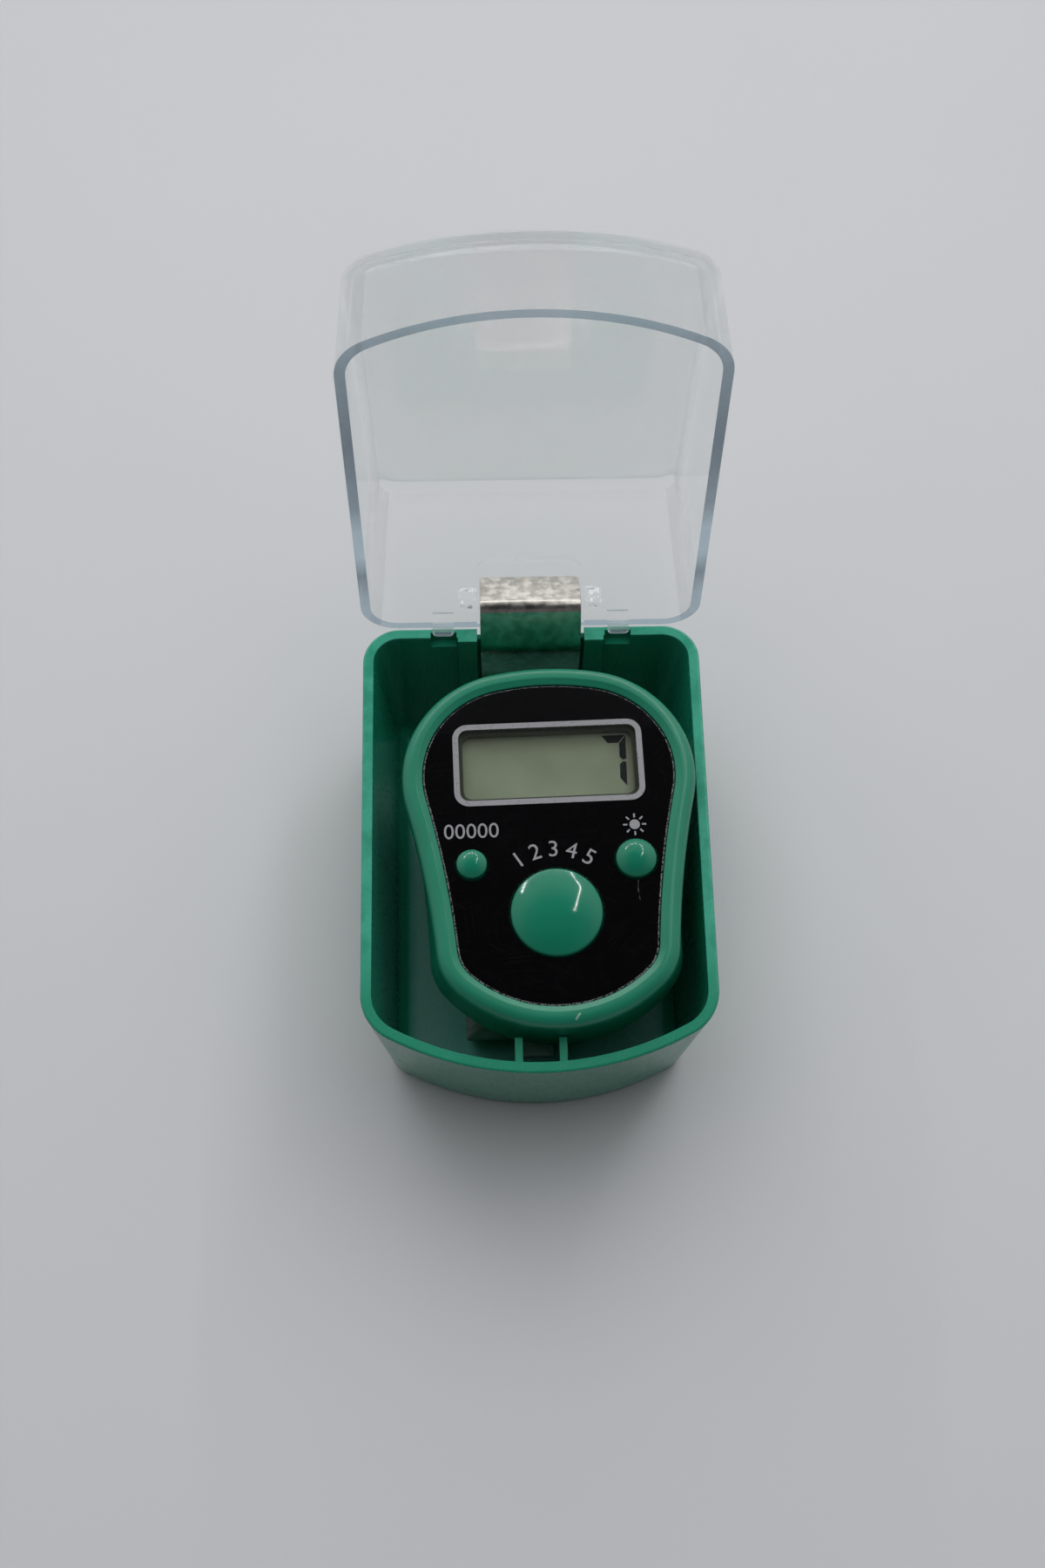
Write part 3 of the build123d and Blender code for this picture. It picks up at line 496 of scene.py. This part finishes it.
# The screws: four self-tapping steel screws close the shells from the back and one holds the
# battery cover. They are zinc plated, so slightly blue with dull patches.
zinc = Finish("zinc plate")
zinc_patch = zinc.between(zinc.grain(0.5 * MM, 4.0), 0.4, 0.65)
zinc.shade({
    "Base Color": zinc.tint(zinc_patch, (0.42, 0.44, 0.47, 1), (0.60, 0.62, 0.64, 1)),
    "Metallic": 1.0,
    "Roughness": 0.28 + 0.2 * zinc_patch,
    "Normal": zinc.relief(zinc_patch, 0.006 * MM),
})
dress(zinc, "shell_screws", "battery_cover_screw")


# The circuit board: green solder mask over copper tracks on glass laminate, with the chip
# bonded under a drop of black resin and one small lamp soldered at the edge.
TRACK_SCALE = 420.0
board = Finish("solder mask")
board_lanes = board.node(
    "TexVoronoi", {"feature": "DISTANCE_TO_EDGE"}, {"Vector": board.place, "Scale": TRACK_SCALE}
)
board_track = 1 - board.between(board_lanes, 0.10, 0.14)
board_weave = board.grain(0.2 * MM, 1.0)
board.shade({
    "Base Color": board.tint(board_track, (0.008, 0.07, 0.022, 1), (0.02, 0.14, 0.045, 1)),
    "Roughness": 0.32 + 0.1 * board_weave,
    "Normal": board.relief(board_track + 0.3 * board_weave, 0.03 * MM),
})
dress(board, "circuit_board")

resin = Finish("black resin")
resin_dimple = resin.grain(0.8 * MM, 3.0)
resin.shade({
    "Base Color": resin.tint(resin_dimple, (0.006, 0.006, 0.007, 1), (0.02, 0.02, 0.02, 1)),
    "Roughness": 0.3 + 0.25 * resin_dimple,
    "Normal": resin.relief(resin_dimple, 0.05 * MM),
})
dress(resin, "chip_blob")

lamp_body = Finish("lamp resin")
lamp_cloud = lamp_body.grain(0.3 * MM, 2.0)
lamp_body.shade({
    "Base Color": lamp_body.tint(lamp_cloud, (0.70, 0.68, 0.45, 1), (0.82, 0.80, 0.62, 1)),
    "Roughness": 0.25 + 0.2 * lamp_cloud,
    "Normal": lamp_body.relief(lamp_cloud, 0.01 * MM),
})
dress(lamp_body, "backlight_led")


# The three tact switches: black moulded bodies soldered to the board, each with a short
# dark plunger that carries its button.
switch_body = Finish("switch moulding")
switch_grain = switch_body.grain(0.12 * MM, 3.0)
switch_body.shade({
    "Base Color": switch_body.tint(switch_grain, (0.012, 0.012, 0.013, 1), (0.035, 0.035, 0.037, 1)),
    "Roughness": 0.45 + 0.2 * switch_grain,
    "Normal": switch_body.relief(switch_grain, 0.01 * MM),
})
dress(switch_body, "count_switch", "reset_switch", "light_switch")

plunger = Finish("plunger moulding")
plunger_grain = plunger.grain(0.2 * MM, 2.0)
plunger.shade({
    "Base Color": plunger.tint(plunger_grain, (0.10, 0.018, 0.014, 1), (0.16, 0.03, 0.022, 1)),
    "Roughness": 0.35 + 0.2 * plunger_grain,
    "Normal": plunger.relief(plunger_grain, 0.008 * MM),
})
dress(plunger, "count_plunger", "reset_plunger", "light_plunger")


# The display's underparts: a clear acrylic light guide that spreads the lamp's light, and the
# striped rubber connector, alternate layers of carbon and plain silicone, squeezed on the board.
DOT_SCALE = 1600.0
LAYER_SCALE = 1200.0
guide = Finish("light guide")
guide_dots = guide.node(
    "TexVoronoi", {"feature": "F1"}, {"Vector": guide.place, "Scale": DOT_SCALE}
)
guide_frost = guide.between(guide_dots, 0.25, 0.45)
guide.shade({
    "Base Color": (0.93, 0.95, 0.94, 1),
    "Roughness": 0.08 + 0.3 * guide_frost,
    "IOR": 1.49,
    "Transmission Weight": 0.9,
    "Normal": guide.relief(guide_frost, 0.02 * MM),
})
dress(guide, "light_guide")

zebra = Finish("striped rubber")
zebra_wave = zebra.node(
    "TexWave", {"wave_type": "BANDS", "bands_direction": "X"},
    {"Vector": zebra.place, "Scale": LAYER_SCALE, "Distortion": 0.0},
)
zebra_carbon = zebra.between(zebra_wave, 0.35, 0.6)
zebra.shade({
    "Base Color": zebra.tint(zebra_carbon, (0.55, 0.50, 0.46, 1), (0.02, 0.02, 0.02, 1)),
    "Roughness": 0.55 + 0.15 * zebra_carbon,
    "Normal": zebra.relief(zebra_carbon, 0.01 * MM),
})
dress(zebra, "zebra_strip")


# The display: two glasses with liquid crystal between them and a grey-green reflector behind.
# The bars that are switched on show as a dark number at the right, the rest stay unseen.
WINDOW_Y = 8.4
LCD_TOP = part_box("display_glass")[1].z
lcd = Finish("grey-green display")
lcd_pearl = lcd.grain(0.06 * MM, 2.0)
lcd_cloud = lcd.between(lcd.grain(6 * MM, 2.0), 0.35, 0.7)
lcd_tone = lcd.tint(lcd_cloud, (0.235, 0.275, 0.190, 1), (0.275, 0.318, 0.225, 1))
lcd.shade({
    "Base Color": lcd.tint(lcd_pearl * 0.25, lcd_tone, (0.33, 0.37, 0.28, 1)),
    "Roughness": 0.5 + 0.12 * lcd_pearl,
    "Specular IOR Level": 0.1,
    "Normal": lcd.relief(lcd_pearl, 0.004 * MM),
})
dress(lcd, "display_glass")

DIGIT_RIGHT = 7.95
DIGIT_Y = WINDOW_Y + 0.45
DIGIT_WIDTH = 2.55
DIGIT_HEIGHT = 5.6
FLAT_BAR = 0.83
SIDE_BAR = 0.66
BAR_GAP = 0.08
DIGIT_SLANT = 0.03
ELECTRODE = 0.02 * MM
LIT = "abc"


def number_bars(bm, right, bars):
    """The named bars of one seven-bar number whose right edge is at this x in mm."""
    half, rise = DIGIT_WIDTH / 2, DIGIT_HEIGHT / 2
    inner, under = half - SIDE_BAR, rise - FLAT_BAR
    point = half - SIDE_BAR / 2
    flat = (
        (BAR_GAP - half, rise), (half - BAR_GAP, rise),
        (inner - BAR_GAP, under), (BAR_GAP - inner, under),
    )
    tall = (
        (half, rise - BAR_GAP), (half, FLAT_BAR / 4), (point, BAR_GAP),
        (inner, FLAT_BAR / 2), (inner, under - BAR_GAP),
    )
    centre = (
        (BAR_GAP - point, 0), (-inner, FLAT_BAR / 2), (inner, FLAT_BAR / 2),
        (point - BAR_GAP, 0), (inner, -FLAT_BAR / 2), (-inner, -FLAT_BAR / 2),
    )
    forms = {
        "a": (flat, 1, 1), "b": (tall, 1, 1), "c": (tall, 1, -1), "d": (flat, 1, -1),
        "e": (tall, -1, -1), "f": (tall, -1, 1), "g": (centre, 1, 1),
    }
    for bar in bars:
        outline, flip_x, flip_y = forms[bar]
        middle_x = right - half
        spots = [((middle_x + flip_x * x) * MM, (DIGIT_Y + flip_y * y) * MM, 0) for x, y in outline]
        bm.faces.new([bm.verts.new(spot) for spot in spots])


def raise_film(bm, thickness):
    """Gives flat print its thickness, standing on the face that it is printed on."""
    film = bmesh.ops.extrude_face_region(bm, geom=bm.faces[:])["geom"]
    upper = [item for item in film if isinstance(item, bmesh.types.BMVert)]
    bmesh.ops.translate(bm, vec=(0, 0, thickness), verts=upper)


lit = Finish("switched on")
lit_bleed = lit.grain(0.3 * MM, 2.0)
lit.shade({
    "Base Color": lit.tint(lit_bleed, (0.010, 0.013, 0.013, 1), (0.018, 0.022, 0.021, 1)),
    "Roughness": 0.5 + 0.1 * lit_bleed,
    "Specular IOR Level": 0.1,
    "Normal": lit.relief(lit_bleed, 0.003 * MM),
})
bm = bmesh.new()
number_bars(bm, DIGIT_RIGHT, LIT)
raise_film(bm, ELECTRODE)
slant = Matrix.Identity(4)
slant[0][1] = DIGIT_SLANT
slant[0][3] = -DIGIT_SLANT * DIGIT_Y * MM
on_display = Matrix.Translation((0, 0, LCD_TOP + ELECTRODE - counter.translation.z))
bmesh.ops.transform(bm, matrix=counter @ on_display @ slant, verts=bm.verts)
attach(piece_from(bm, "display_number", lit), "case")


# The top shell: the counter's upper half, moulded with a rounded bead round a sunk deck.
# The walls of the opening over the display are painted dark grey-green as painted shade in that recess,
# and a knock has left one pale nick in the bead.
WINDOW_WALL = (9.25, 4.15)
NICK = (1.45, -18.08)
NICK_SIZE = (0.42, 0.12)
NICK_TURN = 52.0
# The top shell takes a darker copy of the case's green, painted shade.
top = green_plastic("top shell green", tone=0.9, gloss=0.3, scuffs=0.10)


def on_counter(finish, x, y, turn=0.0):
    """Places measured from a point of the counter's face in mm, turned with the counter."""
    origin = counter @ Vector((x * MM, y * MM, 0))
    turned = (0, 0, COUNTER_TURN + math.radians(turn))
    return finish.node(
        "Mapping", {"vector_type": "TEXTURE"},
        {"Vector": finish.place, "Location": origin, "Rotation": turned},
    )


def within(finish, place, half_x, half_y, soft):
    """1 inside a rectangle of these half sides in mm, fading over soft mm."""
    inside = 1.0
    for name, half in (("X", half_x), ("Y", half_y)):
        reach = finish.axis(name, place)
        reach = finish.node("Math", {"operation": "ABSOLUTE"}, {0: reach})
        inside = (1 - finish.between(reach, (half - soft) * MM, half * MM)) * inside
    return inside


# Painted shade: the opening's walls round the display are tinted dark grey-green.
opening_painted_shade = within(top, on_counter(top, 0, WINDOW_Y), *WINDOW_WALL, soft=0.05)
nick = within(top, on_counter(top, *NICK, NICK_TURN), *NICK_SIZE, soft=0.09)
top_nicked = top.tint(nick * 0.8, top.colour, (0.36, 0.46, 0.40, 1))
top.shade({"Base Color": top.tint(opening_painted_shade, top_nicked, (0.075, 0.088, 0.066, 1))})
dress(top, "top_shell")


# The faceplate: gloss black acrylic, laser cut and glued into the top shell's sunk deck.
# Its cut edge is painted pale in broken patches, a painted highlight along the edge together with
# chips, and its face has swirls from a cloth and one long curved scratch.
PLATE_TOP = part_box("faceplate")[1].z
plate = Finish("gloss black")
plate_normal = plate.node("TexCoord", output="Normal")
plate_edge = 1 - plate.between(plate.axis("Z", plate_normal), 0.85, 0.97)
plate_chips = plate.between(plate.grain(0.16 * MM, 3.0), 0.42, 0.6)
plate_hairs = plate.hairlines(6 * MM, 0.05 * MM, (5, 48, 97, 151))
plate_smear = plate.between(plate.grain((5 * MM, 2 * MM, 5 * MM), 3.0), 0.5, 0.75)
SCRATCH = (13.8, -5.42)
SCRATCH_RADIUS = 5.7 * MM
SCRATCH_END = (8.2, -5.45)
SCRATCH_HALF = (0.8, 1.2)
scratch_middle = counter @ Vector((SCRATCH[0] * MM, SCRATCH[1] * MM, PLATE_TOP - counter.translation.z))
scratch_arm = plate.node(
    "VectorMath", {"operation": "DISTANCE"}, {0: plate.place, 1: scratch_middle}, output="Value"
)
scratch_broken = plate.between(plate.grain(0.8 * MM, 2.0), 0.4, 0.55)
scratch_off = plate.node("Math", {"operation": "ABSOLUTE"}, {0: scratch_arm - SCRATCH_RADIUS})
scratch_line = 1 - plate.between(scratch_off, 0.02 * MM, 0.07 * MM)
scratch_span = within(plate, on_counter(plate, *SCRATCH_END), *SCRATCH_HALF, soft=0.4)
curved_scratch = scratch_line * scratch_broken * scratch_span
# The cut edge's pale colour is painted highlight, broken up by chips.
plate_edge_highlight_and_chips = plate_edge * plate_chips
plate_dark = plate.tint(plate_hairs * 0.25, (0.0014, 0.0014, 0.0016, 1), (0.02, 0.02, 0.022, 1))
plate_marked = plate.tint(curved_scratch * 0.5, plate_dark, (0.16, 0.16, 0.17, 1))
plate.shade({
    "Base Color": plate.tint(plate_edge_highlight_and_chips * 0.8, plate_marked, (0.42, 0.44, 0.45, 1)),
    "Roughness": 0.05 + 0.03 * plate_smear + 0.02 * plate_hairs + 0.3 * plate_edge_highlight_and_chips,
    "IOR": 1.49,
    "Normal": plate.relief(0 - plate_hairs - 8 * curved_scratch, 0.0001 * MM),
})
dress(plate, "faceplate")


# The print on the plate: silver screen-printed ink, a rounded frame round the display, noughts
# over the reset button, a small sun over the light button and numbers round the count button.
INK = 0.025 * MM
FRAME_SIZE = (19.1, 8.85)
FRAME_LINE = 0.58 * MM
FRAME_CORNER = 1.5 * MM
silver = Finish("silver ink")
silver_flake = silver.grain(0.05 * MM, 2.0)
silver_thin = silver.between(silver.grain(0.22 * MM, 3.0), 0.56, 0.68)
silver_flakes = silver.tint(silver_flake, (0.22, 0.22, 0.233, 1), (0.33, 0.33, 0.347, 1))
silver.shade({
    "Base Color": silver.tint(silver_thin * 0.5, silver_flakes, (0.12, 0.12, 0.13, 1)),
    "Metallic": 0.2,
    "Roughness": 0.42 + 0.2 * silver_flake,
    "Normal": silver.relief(silver_flake, 0.006 * MM),
})
on_plate = counter @ Matrix.Translation((0, 0, PLATE_TOP - counter.translation.z))

bm = bmesh.new()
bmesh.ops.create_grid(bm, x_segments=1, y_segments=1, size=0.5)
bmesh.ops.scale(bm, vec=(FRAME_SIZE[0] * MM, FRAME_SIZE[1] * MM, 1), verts=bm.verts)
bmesh.ops.bevel(
    bm, geom=bm.verts[:], offset=FRAME_CORNER, offset_type="OFFSET",
    segments=8, profile=0.5, affect="VERTICES", material=-1,
)
inside = bm.faces[:]
bmesh.ops.inset_region(
    bm, faces=inside, thickness=FRAME_LINE, use_even_offset=True, use_boundary=True
)
bmesh.ops.delete(bm, geom=inside, context="FACES")
raise_film(bm, INK)
bmesh.ops.translate(bm, vec=(0, WINDOW_Y * MM, 0), verts=bm.verts)
bmesh.ops.transform(bm, matrix=on_plate, verts=bm.verts)
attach(piece_from(bm, "display_frame_print", silver), "case")


CAPITAL_SHARE = 0.72


def letter_mesh(text, height):
    """Plain figures of this height in mm as a flat mesh, centred on their own middle."""
    line = bpy.data.curves.new("figures", "FONT")
    line.body = text
    line.size = height * MM / CAPITAL_SHARE
    line.align_x = "CENTER"
    line.align_y = "CENTER"
    line.resolution_u = 4
    holder = bpy.data.objects.new("figures", line)
    mesh = bpy.data.meshes.new_from_object(holder)
    bpy.data.objects.remove(holder)
    bpy.data.curves.remove(line)
    return mesh


def figures(bm, text, height, place):
    mesh = letter_mesh(text, height)
    mesh.transform(place)
    bm.from_mesh(mesh)
    bpy.data.meshes.remove(mesh)


NOUGHTS = (-8.0, 1.25)
NOUGHT_HEIGHT = 1.6
bm = bmesh.new()
figures(bm, "00000", NOUGHT_HEIGHT, Matrix.Translation((NOUGHTS[0] * MM, NOUGHTS[1] * MM, 0)))
raise_film(bm, INK)
bmesh.ops.transform(bm, matrix=on_plate, verts=bm.verts)
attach(piece_from(bm, "reset_print", silver), "case")

COUNT_Y = -7.5
NUMBER_ARC = 6.55
NUMBER_STEP = 16.0
NUMBER_HEIGHT = 1.7
NUMBERS = (1, 2, 3, 4, 5)
bm = bmesh.new()
for number in NUMBERS:
    lean = math.radians((NUMBERS[2] - number) * NUMBER_STEP)
    spot = Matrix.Translation((0, COUNT_Y * MM, 0)) @ Matrix.Rotation(lean, 4, "Z")
    figures(bm, str(number), NUMBER_HEIGHT, spot @ Matrix.Translation((0, NUMBER_ARC * MM, 0)))
raise_film(bm, INK)
bmesh.ops.transform(bm, matrix=on_plate, verts=bm.verts)
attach(piece_from(bm, "count_print", silver), "case")

SUN = (8.2, 1.35)
SUN_RADIUS = 0.52 * MM
RAY = (0.17 * MM, 0.42 * MM)
RAYS = 8
bm = bmesh.new()
bmesh.ops.create_circle(bm, cap_ends=True, radius=SUN_RADIUS, segments=24)
ray = bmesh.ops.create_grid(bm, x_segments=1, y_segments=1, size=0.5)["verts"]
bmesh.ops.scale(bm, vec=(RAY[0], RAY[1], 1), verts=ray)
bmesh.ops.translate(bm, vec=(0, SUN_RADIUS + RAY[1], 0), verts=ray)
ray_face = [f for f in bm.faces if len(f.verts) == 4]
bmesh.ops.spin(
    bm, geom=ray_face, cent=(0, 0, 0), axis=(0, 0, 1),
    angle=math.tau * (RAYS - 1) / RAYS, steps=RAYS - 1,
    use_duplicate=True, use_merge=False, use_normal_flip=False,
)
raise_film(bm, INK)
bmesh.ops.translate(bm, vec=(SUN[0] * MM, SUN[1] * MM, 0), verts=bm.verts)
bmesh.ops.transform(bm, matrix=on_plate, verts=bm.verts)
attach(piece_from(bm, "light_print", silver), "case")


# The window: a clear acrylic pane pressed into the faceplate over the display, wiped often
# enough to carry a few cloth marks and a finger's smear.
pane = Finish("clear pane")
pane_marks = pane.hairlines(4 * MM, 0.04 * MM, (33, 82, 160))
pane_smear = pane.between(pane.grain((3 * MM, 1.5 * MM, 3 * MM), 3.0), 0.5, 0.8)
pane.shade({
    "Base Color": (0.96, 0.97, 0.96, 1),
    "Roughness": 0.01 + 0.05 * pane_smear + 0.06 * pane_marks,
    "IOR": 1.49,
    "Transmission Weight": 1.0,
    "Normal": pane.relief(0 - pane_marks, 0.0006 * MM),
})
dress(pane, "display_window")
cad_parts["display_window"].visible_shadow = False


# The three buttons: domed green caps moulded with a flange that keeps them in the shell.
# Thumbs have polished their crowns.
# The buttons take the darkest copy of the case's green, painted shade.
buttons = green_plastic("button green", tone=0.82, gloss=0.08, scuffs=0.03)
dress(buttons, "count_button", "reset_button", "light_button")


# The table: a pale grey laminate with the finest of speckle, matt enough to hold a soft shadow.
TABLE_RADIUS = 3.0
floor_finish = Finish("pale laminate")
floor_speck = floor_finish.grain(0.5 * MM, 3.0)
floor_cloud = floor_finish.grain(40 * MM, 2.0)
floor_tone = floor_finish.tint(floor_cloud, (0.585, 0.595, 0.610, 1), (0.610, 0.618, 0.632, 1))
floor_finish.shade({
    "Base Color": floor_finish.tint(floor_speck * 0.1, floor_tone, (0.56, 0.57, 0.58, 1)),
    "Roughness": 0.6 + 0.1 * floor_speck,
    "Specular IOR Level": 0.2,
    "Normal": floor_finish.relief(floor_speck, 0.004 * MM),
})
bm = bmesh.new()
bmesh.ops.create_circle(bm, cap_ends=True, radius=TABLE_RADIUS, segments=64)
bmesh.ops.translate(bm, vec=(0, 0, cad_low.z), verts=bm.verts)
floor = piece_from(bm, "table", floor_finish)


# The light: a bent row of five ceiling tubes behind the case, a broad soft lamp above it, and
# pale walls under a dark ceiling, so the black plate stays black. No tube streaks the lid.
AIM = Vector((0, 0, 20 * MM))
TUBE_WAYS = (
    (-0.564, 0.641, 0.522), (-0.382, 0.846, 0.370), (0, 0.960, 0.270),
    (0.254, 0.908, 0.333), (0.445, 0.710, 0.544), (0.373, 0.246, 0.895),
)
TUBE_REACH = 1.5
TUBE_BREADTH = 0.009
TUBE_RADIANCE = 55.0
SOFT_ENDS = (Vector((-0.2, 0.11, 0.32)), Vector((0.2, 0.11, 0.32)))
SOFT_BREADTH = 0.40
SOFT_RADIANCE = 1.36
WATTS_PER_RADIANCE = 4


def lamp_facing(name, start, end, breadth, radiance):
    """A rectangular lamp along a line, turned to face the object."""
    lamp = bpy.data.lights.new(name, "AREA")
    lamp.shape = "RECTANGLE"
    lamp.size = (end - start).length
    lamp.size_y = breadth
    lamp.energy = WATTS_PER_RADIANCE * radiance * lamp.size * lamp.size_y
    length_way = (end - start).normalized()
    centre = (start + end) / 2
    outward = (centre - AIM).normalized()
    outward = (outward - length_way * outward.dot(length_way)).normalized()
    turn = Matrix((length_way, outward.cross(length_way), outward)).transposed()
    holder = bpy.data.objects.new(name, lamp)
    holder.matrix_world = Matrix.Translation(centre) @ turn.to_4x4()
    bpy.context.collection.objects.link(holder)
    return holder


corners = [AIM + TUBE_REACH * Vector(way).normalized() for way in TUBE_WAYS]
spared = bpy.data.collections.new("spared by the tubes")
spared.objects.link(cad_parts["case_lid"])
spared.collection_objects[0].light_linking.link_state = "EXCLUDE"
for count, ends in enumerate(zip(corners, corners[1:])):
    tube = lamp_facing("tube %d" % count, *ends, TUBE_BREADTH, TUBE_RADIANCE)
    tube.light_linking.receiver_collection = spared
soft = lamp_facing("soft lamp", *SOFT_ENDS, SOFT_BREADTH, SOFT_RADIANCE)
soft.visible_glossy = False
soft.visible_transmission = False

CEILING_RISE = (0.55, 0.97)
CEILING = (0.02, 0.02, 0.024, 1)
FRONT_WALL = (0.22, (0.11, 0.11, 0.115, 1))
SIDE_WALLS = (0.5, (0.39, 0.40, 0.42, 1))
BACK_WALL = (1.0, (0.80, 0.81, 0.82, 1))
room = bpy.data.worlds.new("room")
room.use_nodes = True
bpy.context.scene.world = room
room_nodes = room.node_tree.nodes
room_links = room.node_tree.links
sight = room_nodes.new("ShaderNodeTexCoord")
height = room_nodes.new("ShaderNodeSeparateXYZ")
room_links.new(sight.outputs["Generated"], height.inputs[0])
rising = room_nodes.new("ShaderNodeMapRange")
rising.interpolation_type = "SMOOTHSTEP"
rising.inputs["From Min"].default_value, rising.inputs["From Max"].default_value = CEILING_RISE
room_links.new(height.outputs["Z"], rising.inputs["Value"])
around = room_nodes.new("ShaderNodeValToRGB")
around.color_ramp.elements[0].position, around.color_ramp.elements[0].color = FRONT_WALL
around.color_ramp.elements[1].position, around.color_ramp.elements[1].color = BACK_WALL
around.color_ramp.elements.new(SIDE_WALLS[0]).color = SIDE_WALLS[1]
behind = room_nodes.new("ShaderNodeMapRange")
behind.inputs["From Min"].default_value = -1.0
room_links.new(height.outputs["Y"], behind.inputs["Value"])
room_links.new(behind.outputs[0], around.inputs[0])
walls = room_nodes.new("ShaderNodeMix")
walls.data_type = "RGBA"
walls.inputs[7].default_value = CEILING
room_links.new(around.outputs[0], walls.inputs[6])
room_links.new(rising.outputs[0], walls.inputs[0])
room_links.new(walls.outputs[2], room_nodes["Background"].inputs["Color"])


# The camera: hand held in front of the case and well above it.
FOCAL_PIXELS = 2276.576
LONG_SIDE_PIXELS = 1800
EYE_PLACE = Vector((-4.349, -69.753, 207.261)) * MM
PITCH, YAW, ROLL = (math.radians(angle) for angle in (67.787, 2.364, 1.203))
camera = bpy.data.cameras.new("camera")
camera.sensor_width = 36.0
camera.lens = FOCAL_PIXELS * camera.sensor_width / LONG_SIDE_PIXELS
camera.clip_start = 0.01
ahead = Vector((math.sin(YAW) * math.cos(PITCH), math.cos(YAW) * math.cos(PITCH), -math.sin(PITCH)))
level = Vector((math.cos(YAW), -math.sin(YAW), 0))
upright = level.cross(ahead)
right = math.cos(ROLL) * level + math.sin(ROLL) * upright
up = math.cos(ROLL) * upright - math.sin(ROLL) * level
holder = bpy.data.objects.new("camera", camera)
holder.matrix_world = Matrix.Translation(EYE_PLACE) @ Matrix((right, up, -ahead)).transposed().to_4x4()
bpy.context.collection.objects.link(holder)
bpy.context.scene.camera = holder
bpy.context.scene.view_settings.view_transform = "Standard"
